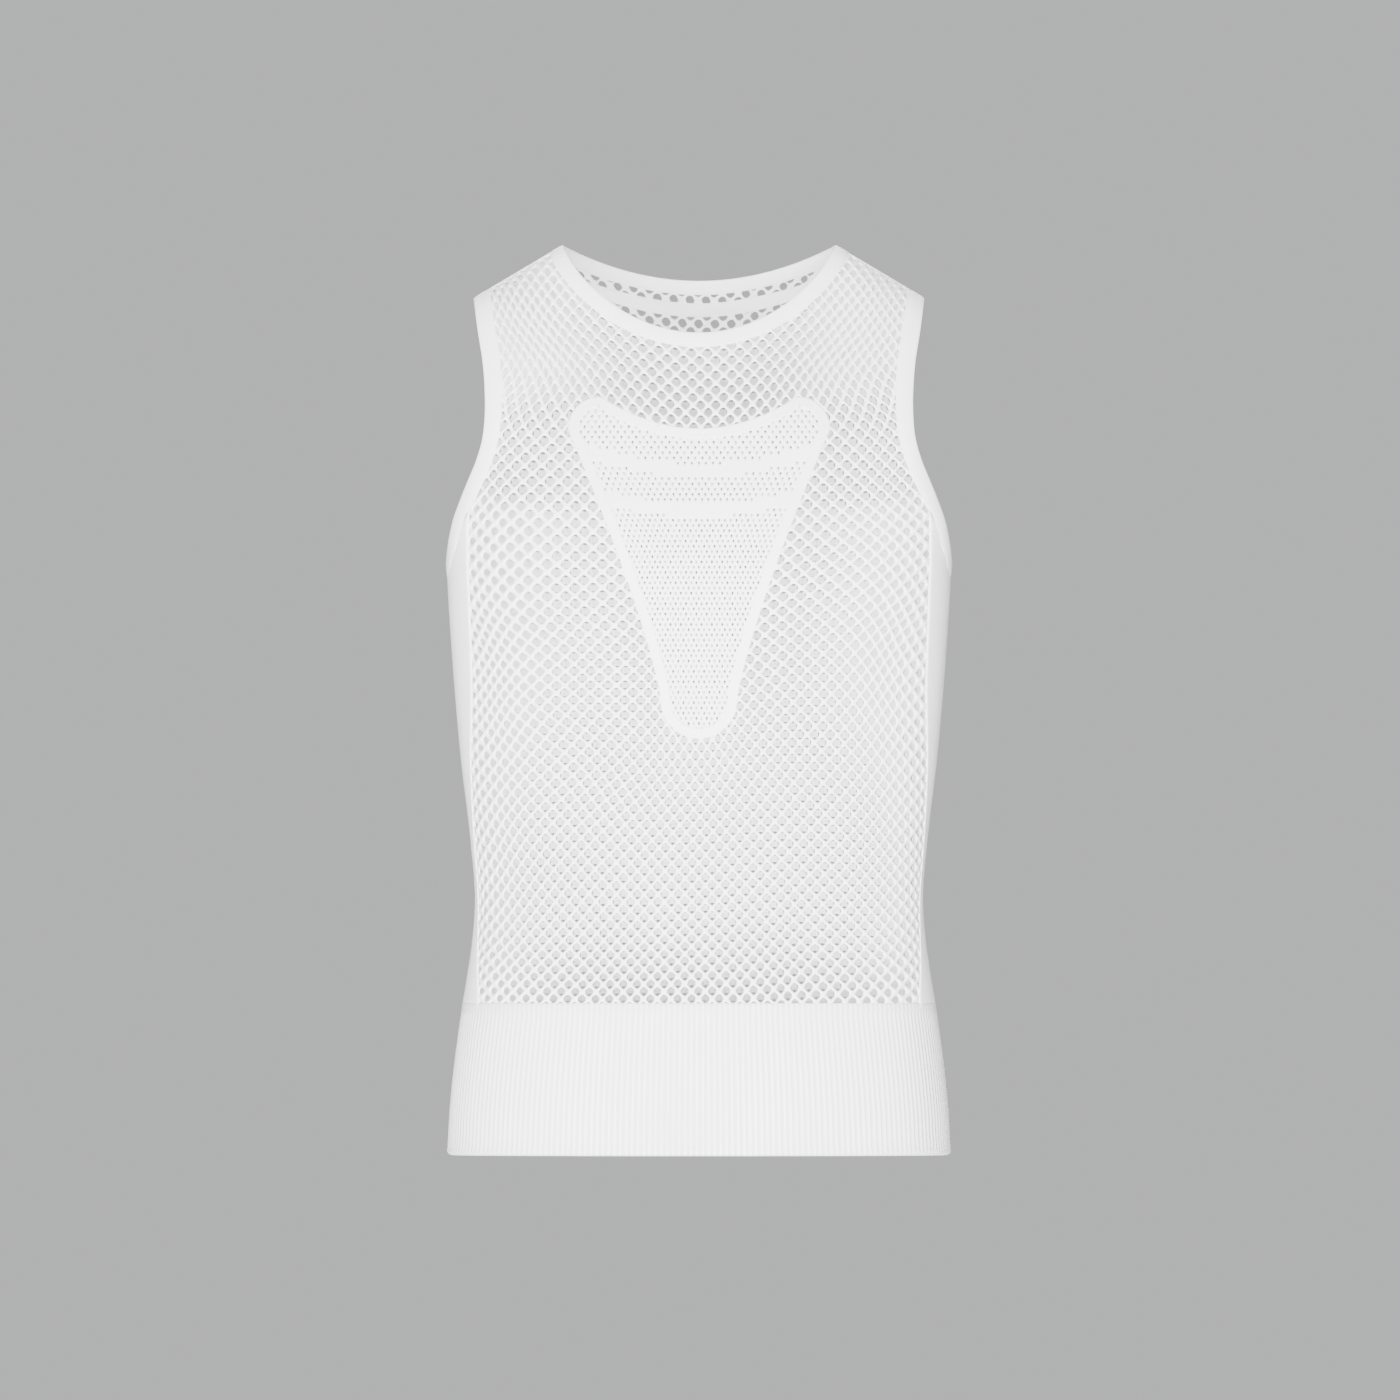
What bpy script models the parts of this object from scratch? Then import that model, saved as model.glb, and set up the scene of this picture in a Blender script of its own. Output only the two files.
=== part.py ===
"""A sleeveless base layer in the shape that it has when worn: net knit front and back, plain knit strips under
the arms, bindings round the neck and the armholes, a breastbone panel and a ribbed waist band.

The cloth is one surface, worked out from the tables below, and each piece is a thin wall on its own stretch of it.
The wearer faces -Y, and +X is the wearer's left.
"""

import math

import bmesh
import bpy
import numpy as np

# Sizes are in metres, and heights are measured up from the lower edge.
ORIGIN_HEIGHT = 0.610  # half way along the shoulder seams, where the shoulders carry the garment
NECK_TIP_HEIGHT = 0.6296
NECK_TIP_X = 0.0941
SHOULDER_END_X = 0.1561
SHOULDER_SLOPE = math.tan(math.radians(30.8))
FRONT_NECK_DROP = 0.0605
FRONT_NECK_POWER = 1.54
BACK_NECK_DROP = 0.0240
BACK_NECK_POWER = 2.0
UNDERARM_HEIGHT = 0.412
WAIST_BAND_HEIGHT = 0.105

SEAM_GAP = 0.0003
NET_WALL = 0.0012
STRIP_WALL = 0.0012
BINDING_WALL = 0.0018
PANEL_WALL = 0.0014
NECK_BINDING_WIDTH = 0.0110
ARM_BINDING_WIDTH = 0.0130

NECK_COLUMNS = 36
ARMHOLE_COLUMNS = 32
STRIP_COLUMNS = 5  # armhole columns from the underarm to the seam of the side strip
STRIP_ROWS = 10
SHOULDER_COLUMNS = 3

RIB_COUNT = 200
RIB_HEIGHT = 0.0006
RIB_SHARE = 4  # outer columns to one inner column
WAIST_BAND_WALL = 0.0020

# The torso in level cuts. Each is a rounded oval that is half_width to the side, front and back deep;
# squareness is its exponent, 2 for an ellipse. Above the underarm the oval is cut off at the armholes.
#    height, half_width, front_depth, back_depth, squareness
TORSO = (
    (0.000, 0.1742, 0.1080, 0.1010, 2.30),
    (0.038, 0.1720, 0.1050, 0.0975, 2.30),
    (0.066, 0.1689, 0.1020, 0.0940, 2.30),
    (0.094, 0.1651, 0.0995, 0.0905, 2.30),
    (0.121, 0.1606, 0.0972, 0.0875, 2.30),
    (0.149, 0.1565, 0.0957, 0.0850, 2.30),
    (0.175, 0.1547, 0.0950, 0.0838, 2.30),
    (0.218, 0.1578, 0.0965, 0.0850, 2.30),
    (0.274, 0.1644, 0.1010, 0.0900, 2.32),
    (0.329, 0.1693, 0.1065, 0.0965, 2.35),
    (0.384, 0.1731, 0.1120, 0.1025, 2.45),
    (0.412, 0.1748, 0.1138, 0.1050, 2.55),
    (0.426, 0.1768, 0.1130, 0.1056, 2.55),
    (0.440, 0.1785, 0.1110, 0.1058, 2.60),
    (0.480, 0.1808, 0.1000, 0.1040, 2.65),
    (0.520, 0.1805, 0.0885, 0.0975, 2.80),
    (0.550, 0.1795, 0.0762, 0.0890, 3.20),
    (0.570, 0.1785, 0.0675, 0.0815, 3.70),
    (0.590, 0.1780, 0.0625, 0.0715, 4.00),
    (0.606, 0.1780, 0.0600, 0.0620, 4.00),
    (0.640, 0.1780, 0.0580, 0.0520, 4.00),
)

# How far below the shoulder line the cloth is still rounding over it, at each distance from the middle.
#    distance, front_reach, back_reach
SHOULDER_ROUNDING = (
    (0.000, 0.130, 0.080),
    (0.040, 0.140, 0.080),
    (0.075, 0.165, 0.078),
    (0.095, 0.172, 0.080),
    (0.125, 0.130, 0.086),
    (0.160, 0.090, 0.090),
)

# The edge of the armhole as it shows from the front.
#    height, distance from the middle
ARMHOLE = (
    (UNDERARM_HEIGHT, 0.1748),
    (0.426, 0.1731),
    (0.440, 0.1700),
    (0.454, 0.1650),
    (0.467, 0.1597),
    (0.481, 0.1540),
    (0.495, 0.1500),
    (0.512, 0.1482),
    (0.530, 0.1483),
    (0.550, 0.1499),
    (0.570, 0.1531),
    (NECK_TIP_HEIGHT - (SHOULDER_END_X - NECK_TIP_X) * SHOULDER_SLOPE, SHOULDER_END_X),
)

# How far the side strip reaches in front of the side line, and behind it; the armhole's binding gives the top end.
#    height, reach
STRIP_SEAM = (
    (WAIST_BAND_HEIGHT, 0.0430),
    (0.140, 0.0290),
    (0.178, 0.0205),
    (0.215, 0.0215),
    (0.260, 0.0320),
    (0.315, 0.0460),
    (0.384, 0.0565),
)

# The breastbone panel, a long bib that narrows downwards to a round end.
BIB_TOP_X = 0.090
BIB_TOP_HEIGHT = 0.5240
BIB_TOP_DIP = 0.0220
BIB_CORNER = 0.022
BIB_STEM_X = 0.026
BIB_END_HEIGHT = 0.2890
BIB_TAPER = 1.25

# The waist band's outer rings.
#    height, depth of the grooves between its ribs, depth of the whole ring below the crests
WAIST_BAND_RINGS = (
    (0.0000, 0.0000, 0.0006),
    (0.0022, RIB_HEIGHT, 0.0000),
    (0.0500, RIB_HEIGHT, 0.0000),
    (0.0965, RIB_HEIGHT, 0.0000),
    (0.0993, 0.0000, 0.0004),
    (WAIST_BAND_HEIGHT - SEAM_GAP / 2, 0.0000, 0.0003),
)

TINY = 1e-6


def curve_through(rows):
    """A function that gives a table's columns at any value of the first one, on a smooth curve."""
    rows = np.array(rows, dtype=float)
    where, columns = rows[:, 0], rows[:, 1:]
    slopes = np.gradient(columns, where, axis=0)

    def columns_at(value):
        value = min(max(value, where[0]), where[-1])
        i = min(int(np.searchsorted(where, value, side="right")) - 1, len(where) - 2)
        span = where[i + 1] - where[i]
        t = (value - where[i]) / span
        start = columns[i] * (1 + 2 * t) * (1 - t) ** 2 + slopes[i] * span * t * (1 - t) ** 2
        end = columns[i + 1] * t * t * (3 - 2 * t) + slopes[i + 1] * span * t * t * (t - 1)
        return start + end

    return columns_at


torso_at = curve_through(TORSO)
rounding_at = curve_through(SHOULDER_ROUNDING)
armhole_at = curve_through(ARMHOLE)


def shoulder_line(x):
    return NECK_TIP_HEIGHT - (abs(x) - NECK_TIP_X) * SHOULDER_SLOPE


def closing(x, height, front):
    """0 where the cloth hangs down the body, rising to 1 on the shoulder line."""
    reach = rounding_at(abs(x))[0 if front else 1]
    return min(max(1 - (shoulder_line(x) - height) / reach, 0.0), 1.0)


def depth_at(x, height, front):
    """How far the cloth lies in front of the middle plane, or behind it."""
    half_width, front_depth, back_depth, square = torso_at(height)
    across = min(abs(x) / half_width, 1.0)
    flat = (1 - across**square) ** (1 / square)
    return (front_depth if front else back_depth) * flat * math.sqrt(1 - closing(x, height, front) ** 2)


def on_cloth(x, height, front):
    return np.array((x, -depth_at(x, height, front) if front else depth_at(x, height, front), height))


def level(point):
    """1 on the cloth, less inside it and more outside."""
    x, y, height = point
    front = y < 0
    half_width, front_depth, back_depth, square = torso_at(height)
    depth = front_depth if front else back_depth
    across = abs(x) / half_width
    rise = closing(x, height, front)
    if rise == 0:
        return across**square + (abs(y) / depth) ** square
    flat = max(1 - across**square, TINY) ** (1 / square)
    return (y / (depth * flat)) ** 2 + rise**2


def steepest(point):
    steps = np.eye(3) * 1e-5
    return np.array([level(point + step) - level(point - step) for step in steps]) / 2e-5


def outward(point):
    slope = steepest(point)
    return slope / np.linalg.norm(slope)


def onto_cloth(point):
    for _ in range(6):
        slope = steepest(point)
        point = point - slope * (level(point) - 1) / slope.dot(slope)
    return point


def armhole_edge(turn):
    """The left armhole's edge: under the arm at 0, then up the back, over the shoulder and down the front."""
    rise = ARMHOLE[-1][0] - UNDERARM_HEIGHT
    height = UNDERARM_HEIGHT + rise * (1 - math.cos(turn)) / 2
    return on_cloth(armhole_at(height)[0], height, math.sin(turn) < 0)


def neck_edge(turn):
    """The neck's edge: the middle of the front at 0, then round by the wearer's left shoulder."""
    front = math.cos(turn) > 0
    drop, power = (FRONT_NECK_DROP, FRONT_NECK_POWER) if front else (BACK_NECK_DROP, BACK_NECK_POWER)
    height = NECK_TIP_HEIGHT - drop * abs(math.cos(turn)) ** power
    return on_cloth(NECK_TIP_X * math.sin(turn), height, front)


def beside(edge, turn, distance):
    """The point on the cloth at a distance from an opening's edge."""
    point = edge(turn)
    along = edge(turn + 0.01) - edge(turn - 0.01)
    away = np.cross(along, outward(point))
    away /= np.linalg.norm(away)
    return onto_cloth(point + distance * away)


def ring_turns(count):
    return [2 * math.pi * k / count for k in range(count)]


def clear_scene():
    for item in list(bpy.data.objects):
        bpy.data.objects.remove(item, do_unlink=True)


def knit_material(name, colour, roughness):
    material = bpy.data.materials.new(name)
    material.use_nodes = True
    shader = material.node_tree.nodes["Principled BSDF"]
    shader.inputs["Base Color"].default_value = (*colour, 1)
    shader.inputs["Roughness"].default_value = roughness
    shader.inputs["Metallic"].default_value = 0
    material.diffuse_color = (*colour, 1)
    return material


def add_object(name, bm, collection, colour=(0.88, 0.88, 0.87), roughness=0.85):
    """Turns heights into places above or below the origin, and makes the object."""
    for vertex in bm.verts:
        vertex.co.z -= ORIGIN_HEIGHT
    bmesh.ops.recalc_face_normals(bm, faces=bm.faces)
    mesh = bpy.data.meshes.new(name)
    bm.to_mesh(mesh)
    bm.free()
    mesh.shade_smooth()
    mesh.materials.append(knit_material(name + "_knit", colour, roughness))
    made = bpy.data.objects.new(name, mesh)
    collection.objects.link(made)
    return made


def cloth_wall(name, rows, thickness, collection, around=False):
    """A closed wall: rows of points on the cloth outside, and the same points moved in along its normals inside."""
    bm = bmesh.new()
    outer = [[bm.verts.new(point) for point in row] for row in rows]
    inner = [[bm.verts.new(point - thickness * outward(point)) for point in row] for row in rows]
    count = len(rows[0])
    spans = [(j, (j + 1) % count) for j in range(count if around else count - 1)]
    for low, high in zip(range(len(rows) - 1), range(1, len(rows))):
        for j, k in spans:
            bm.faces.new((outer[low][j], outer[low][k], outer[high][k], outer[high][j]))
            bm.faces.new((inner[low][j], inner[high][j], inner[high][k], inner[low][k]))
        for j in () if around else (0, count - 1):
            bm.faces.new((outer[low][j], outer[high][j], inner[high][j], inner[low][j]))
    for end in (0, -1):
        for j, k in spans:
            bm.faces.new((outer[end][j], outer[end][k], inner[end][k], inner[end][j]))
    return add_object(name, bm, collection)


def on_side(rows, side):
    return [[point * (side, 1, 1) for point in row] for row in rows]


def binding_rows(edge, count, width):
    return [
        [beside(edge, turn, distance) if distance else edge(turn) for turn in ring_turns(count)]
        for distance in (0, width / 2, width - SEAM_GAP / 2)
    ]


def armhole_seam(front):
    """Where the front or the back meets the left armhole's binding, from the side strip up to the shoulder."""
    sign = -1 if front else 1
    turns = ring_turns(ARMHOLE_COLUMNS)
    columns = range(STRIP_COLUMNS, ARMHOLE_COLUMNS // 2 + 1)
    return [beside(armhole_edge, sign * turns[k], ARM_BINDING_WIDTH + SEAM_GAP / 2) for k in columns]


def strip_reach_at(front):
    """A function that gives the strip's reach at each height, ending on the armhole's binding."""
    top = armhole_seam(front)[0]
    return curve_through((*STRIP_SEAM, (top[2], abs(top[1]))))


def strip_heights(front):
    top = armhole_seam(front)[0][2]
    return np.linspace(WAIST_BAND_HEIGHT + SEAM_GAP / 2, top, STRIP_ROWS + 1)


def side_outline(front):
    """The left side of the front or the back, from the waist band up to the shoulder, as (x, height)."""
    reach_at = strip_reach_at(front)
    low = []
    for height in strip_heights(front)[:-1]:
        half_width, front_depth, back_depth, square = torso_at(height)
        deep = (reach_at(height)[0] + SEAM_GAP / 2) / (front_depth if front else back_depth)
        low.append((half_width * (1 - deep**square) ** (1 / square), height))
    return low + [(point[0], point[2]) for point in armhole_seam(front)]


def top_outline(front):
    """The shoulder seams and the neck's seam, from the wearer's right to left, as (x, height)."""
    turns = ring_turns(NECK_COLUMNS)
    quarter = NECK_COLUMNS // 4
    if front:
        columns = range(0, quarter + 1)
    else:
        columns = range(2 * quarter, quarter - 1, -1)
    neck = [beside(neck_edge, turns[k], NECK_BINDING_WIDTH + SEAM_GAP / 2) for k in columns]
    neck_x, arm_x = neck[-1][0], armhole_seam(front)[-1][0]
    left = [(point[0], point[2]) for point in neck]
    left += [(x, shoulder_line(x)) for x in np.linspace(neck_x, arm_x, SHOULDER_COLUMNS + 1)[1:]]
    return [(-x, height) for x, height in reversed(left[1:])] + left


def panel_rows(front):
    """The front or the back, as rows of points between its side and top outlines."""
    side, top = side_outline(front), top_outline(front)
    (low_x, low), (high_x, high) = side[0], side[-1]
    rows = []
    for side_x, side_height in side:
        up = (side_height - low) / (high - low)
        row = []
        for top_x, top_height in top:
            across = top_x / high_x
            x = across * side_x + up * (top_x - across * high_x)
            height = side_height + up * (top_height - high)
            point = on_cloth(x, height, front)
            point[1] = min(point[1], -SEAM_GAP / 2) if front else max(point[1], SEAM_GAP / 2)
            row.append(point)
        rows.append(row)
    return rows


def round_side(share, reach, height, front):
    """A point of the side strip: share is 0 on the side line and 1 on the seam."""
    half_width, front_depth, back_depth, square = torso_at(height)
    y = share * (reach - SEAM_GAP / 2)
    x = half_width * (1 - (y / (front_depth if front else back_depth)) ** square) ** (1 / square)
    return np.array((x, -y if front else y, height))


def strip_rows():
    """The left side strip, as rows of points from its front seam round to its back seam."""
    turns = ring_turns(ARMHOLE_COLUMNS)
    columns = range(-STRIP_COLUMNS, STRIP_COLUMNS + 1)
    top = [beside(armhole_edge, turns[k], ARM_BINDING_WIDTH + SEAM_GAP / 2) for k in columns]
    reach_at = {front: strip_reach_at(front) for front in (True, False)}
    rows = []
    for front_height, back_height in zip(strip_heights(True)[:-1], strip_heights(False)[:-1]):
        row = []
        for k, end in zip(columns, top):
            front = k < 0
            side_height = front_height if front else back_height
            corner = top[0][2] if front else top[-1][2]
            up = (side_height - WAIST_BAND_HEIGHT) / (corner - WAIST_BAND_HEIGHT)
            height = side_height + up * (end[2] - corner)
            row.append(round_side(abs(k) / STRIP_COLUMNS, reach_at[front](height)[0], height, front))
        rows.append(row)
    sideways = [end + np.array((SEAM_GAP, 0, 0)) * (abs(k) == STRIP_COLUMNS) for k, end in zip(columns, top)]
    return rows + [[onto_cloth(point) for point in sideways]]


def bib_outline(grow):
    """The breastbone panel from the front, as (x, height), grown by a margin."""
    top_x = BIB_TOP_X + grow
    stem_x = BIB_STEM_X + grow
    end_centre = BIB_END_HEIGHT + BIB_STEM_X
    corner_height = BIB_TOP_HEIGHT - BIB_CORNER
    half = []
    for k in range(7):
        angle = -math.pi / 2 + math.pi / 2 * k / 6
        half.append((stem_x * math.cos(angle), end_centre + stem_x * math.sin(angle)))
    for height in np.linspace(end_centre, corner_height, 11)[1:]:
        share = (height - end_centre) / (corner_height - end_centre)
        half.append((stem_x + (top_x - stem_x) * share**BIB_TAPER, height))
    for k in range(1, 5):
        angle = math.pi / 2 * k / 4
        half.append(
            (
                top_x - BIB_CORNER * (1 - math.cos(angle)),
                corner_height + (BIB_CORNER + grow) * math.sin(angle),
            )
        )
    corner_x = top_x - BIB_CORNER
    for share in (0.75, 0.5, 0.25, 0):
        half.append((corner_x * share, BIB_TOP_HEIGHT + grow - BIB_TOP_DIP * (1 - share**2)))
    return half + [(-x, height) for x, height in reversed(half[1:-1])]


def bib_cutter(name, grow, collection):
    """A block with the panel's outline that goes right through the front."""
    bm = bmesh.new()
    near, far = -0.16, -0.03  # before and behind the front's wall, and short of the back
    outline = [bm.verts.new((x, near, height)) for x, height in bib_outline(grow)]
    face = bm.faces.new(outline)
    pushed = bmesh.ops.extrude_face_region(bm, geom=[face])["geom"]
    moved = [item for item in pushed if isinstance(item, bmesh.types.BMVert)]
    bmesh.ops.translate(bm, verts=moved, vec=(0, far - near, 0))
    cutter = add_object(name, bm, collection)
    cutter.hide_render = True
    cutter.display_type = "WIRE"
    return cutter


def bib_rows():
    """A patch of the front that is a little larger than the panel."""
    margin = 0.006
    widths = np.linspace(-BIB_TOP_X - margin, BIB_TOP_X + margin, 13)
    heights = np.linspace(BIB_END_HEIGHT - margin, BIB_TOP_HEIGHT + margin, 13)
    return [[on_cloth(x, height, True) for x in widths] for height in heights]


def cut_with(target, cutter, operation):
    modifier = target.modifiers.new(operation.lower(), "BOOLEAN")
    modifier.object = cutter
    modifier.operation = operation


def level_cut(turn, height):
    """A point of the torso's level cut: 0 is the wearer's left side, a quarter turn is the middle of the back."""
    half_width, front_depth, back_depth, square = torso_at(height)
    c, s = math.cos(turn), math.sin(turn)
    depth = front_depth if s < 0 else back_depth
    x = math.copysign(half_width * abs(c) ** (2 / square), c)
    y = math.copysign(depth * abs(s) ** (2 / square), s)
    return np.array((x, y, height))


def even_turns(count, height):
    """Turns whose points lie the same distance apart along the torso's level cut."""
    fine = np.linspace(0, 2 * math.pi, 4001)
    points = np.array([level_cut(turn, height) for turn in fine])
    along = np.concatenate(([0], np.cumsum(np.linalg.norm(np.diff(points, axis=0), axis=1))))
    return np.interp(np.linspace(0, along[-1], count + 1)[:-1], along, fine)


def waist_band(name, collection):
    """A ribbed tube: crests and grooves in the outer rings, over a plain inside."""
    bm = bmesh.new()
    columns = 2 * RIB_COUNT
    turns = even_turns(columns, WAIST_BAND_HEIGHT / 2)
    inner_heights = (WAIST_BAND_RINGS[0][0], WAIST_BAND_RINGS[2][0], WAIST_BAND_RINGS[-1][0])

    def ring(height, turns, moved_in):
        made = [level_cut(turn, height) for turn in turns]
        level_out = [outward(point) * (1, 1, 0) for point in made]
        return [
            bm.verts.new(point - moved_in(k) * out / np.linalg.norm(out))
            for k, (point, out) in enumerate(zip(made, level_out))
        ]

    outer = [
        ring(height, turns, lambda k, groove=groove, whole=whole: whole + groove * (k % 2))
        for height, groove, whole in WAIST_BAND_RINGS
    ]
    inner = [ring(height, turns[::RIB_SHARE], lambda k: WAIST_BAND_WALL) for height in inner_heights]
    for rings in (outer, inner):
        for low, high in zip(rings, rings[1:]):
            for k in range(len(low)):
                n = (k + 1) % len(low)
                bm.faces.new((low[k], low[n], high[n], high[k]))
    for outside, inside in ((outer[0], inner[0]), (outer[-1], inner[-1])):
        for k in range(len(inside)):
            run = [outside[(k * RIB_SHARE + i) % columns] for i in range(RIB_SHARE + 1)]
            bm.faces.new(run + [inside[(k + 1) % len(inside)], inside[k]])
    return add_object(name, bm, collection)


def main():
    clear_scene()
    pieces = bpy.data.collections.new("sleeveless_base_layer")
    cutters = bpy.data.collections.new("cutters")
    for collection in (pieces, cutters):
        bpy.context.scene.collection.children.link(collection)

    front = cloth_wall("front", panel_rows(True), NET_WALL, pieces)
    cloth_wall("back", panel_rows(False), NET_WALL, pieces)
    cut_with(front, bib_cutter("bib_opening", SEAM_GAP, cutters), "DIFFERENCE")
    chest_panel = cloth_wall("chest_panel", bib_rows(), PANEL_WALL, pieces)
    cut_with(chest_panel, bib_cutter("bib_shape", 0.0, cutters), "INTERSECT")

    neck_rows = binding_rows(neck_edge, NECK_COLUMNS, NECK_BINDING_WIDTH)
    cloth_wall("neckband", neck_rows, BINDING_WALL, pieces, around=True)
    arm_rows = binding_rows(armhole_edge, ARMHOLE_COLUMNS, ARM_BINDING_WIDTH)
    side_rows = strip_rows()
    for name, side in (("left", 1), ("right", -1)):
        cloth_wall("armband_" + name, arm_rows, BINDING_WALL, pieces, around=True).scale.x = side
        cloth_wall("side_panel_" + name, side_rows, STRIP_WALL, pieces).scale.x = side
    waist_band("hem_band", pieces)
    bpy.context.view_layer.update()


main()
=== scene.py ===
# %% [markdown]
# # A sleeveless base layer, knitted almost in one piece
#
# A base layer is worn next to the skin under other sports clothes. Most of this one is an open net, so that
# sweat can leave. A finer panel lies over the breastbone, plain strips run down under the arms, flat bindings
# hold the neck and the armholes, and a deep ribbed band grips the waist.
#
# The garment is shown filled out as it is when worn, but with nobody in it, so the inside of the back can be
# seen through the neck. First the imported model is loaded.

# %% Load the imported model
import math

import bmesh
import bpy
import numpy as np
from mathutils import Matrix, Vector
from mathutils.kdtree import KDTree


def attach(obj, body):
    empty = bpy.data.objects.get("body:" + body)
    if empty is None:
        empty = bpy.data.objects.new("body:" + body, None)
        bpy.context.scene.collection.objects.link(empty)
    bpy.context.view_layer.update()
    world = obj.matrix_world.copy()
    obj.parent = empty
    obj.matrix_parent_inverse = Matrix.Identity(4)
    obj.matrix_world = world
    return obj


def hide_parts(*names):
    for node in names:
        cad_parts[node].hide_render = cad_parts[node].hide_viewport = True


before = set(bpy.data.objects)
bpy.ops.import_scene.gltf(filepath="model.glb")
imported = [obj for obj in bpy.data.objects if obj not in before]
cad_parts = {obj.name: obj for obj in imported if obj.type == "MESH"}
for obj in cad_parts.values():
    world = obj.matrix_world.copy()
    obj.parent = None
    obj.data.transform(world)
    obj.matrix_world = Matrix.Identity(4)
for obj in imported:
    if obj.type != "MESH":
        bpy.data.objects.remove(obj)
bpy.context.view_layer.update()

# %% [markdown]
# ## One surface for all the cloth
#
# A knitted garment is a single skin. Every piece here, from the net to the bindings, has to lie on that skin,
# or gaps and steps would show at the seams. The skin could be sculpted, but then each new piece would have to
# be projected on to it. Instead it is worked out from small tables of measurements, the same ones that the
# CAD model uses: the torso's width and depth at each height, how the cloth rounds over the shoulders, and
# where the armholes and the neck are cut. Heights are measured up from the lower edge, in metres. The wearer
# faces -Y.

# %% Measurements of the torso, the armholes and the neck
ORIGIN_HEIGHT = 0.610  # half way along the shoulder seams
NECK_TIP_HEIGHT = 0.6296
NECK_TIP_X = 0.0941
SHOULDER_END_X = 0.1561
SHOULDER_SLOPE = math.tan(math.radians(30.8))
NECK_DROP = {"front": (0.0605, 1.54), "back": (0.0240, 2.0)}  # how far it dips, and the power of its curve
UNDERARM_HEIGHT = 0.412
WAIST_BAND_HEIGHT = 0.105
NECK_BINDING_WIDTH = 0.0110
ARM_BINDING_WIDTH = 0.0130

# height, half width, front depth, back depth, squareness (2 is an ellipse)
TORSO = (
    (0.000, 0.1742, 0.1080, 0.1010, 2.30),
    (0.038, 0.1720, 0.1050, 0.0975, 2.30),
    (0.066, 0.1689, 0.1020, 0.0940, 2.30),
    (0.094, 0.1651, 0.0995, 0.0905, 2.30),
    (0.121, 0.1606, 0.0972, 0.0875, 2.30),
    (0.149, 0.1565, 0.0957, 0.0850, 2.30),
    (0.175, 0.1547, 0.0950, 0.0838, 2.30),
    (0.218, 0.1578, 0.0965, 0.0850, 2.30),
    (0.274, 0.1644, 0.1010, 0.0900, 2.32),
    (0.329, 0.1693, 0.1065, 0.0965, 2.35),
    (0.384, 0.1731, 0.1120, 0.1025, 2.45),
    (0.412, 0.1748, 0.1138, 0.1050, 2.55),
    (0.426, 0.1768, 0.1130, 0.1056, 2.55),
    (0.440, 0.1785, 0.1110, 0.1058, 2.60),
    (0.480, 0.1808, 0.1000, 0.1040, 2.65),
    (0.520, 0.1805, 0.0885, 0.0975, 2.80),
    (0.550, 0.1795, 0.0762, 0.0890, 3.20),
    (0.570, 0.1785, 0.0675, 0.0815, 3.70),
    (0.590, 0.1780, 0.0625, 0.0715, 4.00),
    (0.606, 0.1780, 0.0600, 0.0620, 4.00),
    (0.640, 0.1780, 0.0580, 0.0520, 4.00),
)
# distance from the middle, how far below the shoulder line the front and the back are still rounding over it
SHOULDER_ROUNDING = (
    (0.000, 0.130, 0.080),
    (0.040, 0.140, 0.080),
    (0.075, 0.165, 0.078),
    (0.095, 0.172, 0.080),
    (0.125, 0.130, 0.086),
    (0.160, 0.090, 0.090),
)
# height, distance of the armhole's edge from the middle
ARMHOLE = (
    (UNDERARM_HEIGHT, 0.1748),
    (0.426, 0.1731),
    (0.440, 0.1700),
    (0.454, 0.1650),
    (0.467, 0.1597),
    (0.481, 0.1540),
    (0.495, 0.1500),
    (0.512, 0.1482),
    (0.530, 0.1483),
    (0.550, 0.1499),
    (0.570, 0.1531),
    (NECK_TIP_HEIGHT - (SHOULDER_END_X - NECK_TIP_X) * SHOULDER_SLOPE, SHOULDER_END_X),
)
# height, how far the side strip reaches in front of the side line and behind it
STRIP_SEAM = (
    (WAIST_BAND_HEIGHT, 0.0430),
    (0.140, 0.0290),
    (0.178, 0.0205),
    (0.215, 0.0215),
    (0.260, 0.0320),
    (0.315, 0.0460),
    (0.384, 0.0565),
)
print("torso:", len(TORSO), "levels; armhole:", len(ARMHOLE), "points")

# %% [markdown]
# The tables become smooth curves, and the curves become a surface. Numpy works out thousands of points at
# once, so each helper takes whole arrays of distances and heights.

# %% From the tables to the surface


def curve_through(rows):
    """A function that gives a table's other columns at any values of its first one."""
    rows = np.array(rows, dtype=float)
    where, columns = rows[:, 0], rows[:, 1:]
    slopes = np.gradient(columns, where, axis=0)

    def columns_at(value):
        value = np.clip(value, where[0], where[-1])
        i = np.clip(np.searchsorted(where, value, side="right") - 1, 0, len(where) - 2)
        span = (where[i + 1] - where[i])[..., None]
        t = (value - where[i])[..., None] / span
        start = columns[i] * (1 + 2 * t) * (1 - t) ** 2 + slopes[i] * span * t * (1 - t) ** 2
        end = columns[i + 1] * t * t * (3 - 2 * t) + slopes[i + 1] * span * t * t * (t - 1)
        return np.moveaxis(start + end, -1, 0)

    return columns_at


torso_at = curve_through(TORSO)
rounding_at = curve_through(SHOULDER_ROUNDING)
armhole_at = curve_through(ARMHOLE)


def shoulder_line(x):
    return NECK_TIP_HEIGHT - (np.abs(x) - NECK_TIP_X) * SHOULDER_SLOPE


def closing(x, height, front):
    """0 where the cloth hangs down the body, rising to 1 on the shoulder line."""
    front_reach, back_reach = rounding_at(np.abs(x))
    reach = np.where(front, front_reach, back_reach)
    return np.clip(1 - (shoulder_line(x) - height) / reach, 0, 1)


def oval_depth(x, height, front):
    """The torso's depth before the shoulders are rounded."""
    half_width, front_depth, back_depth, square = torso_at(height)
    across = np.minimum(np.abs(x) / half_width, 1)
    return np.where(front, front_depth, back_depth) * (1 - across**square) ** (1 / square)


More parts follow.
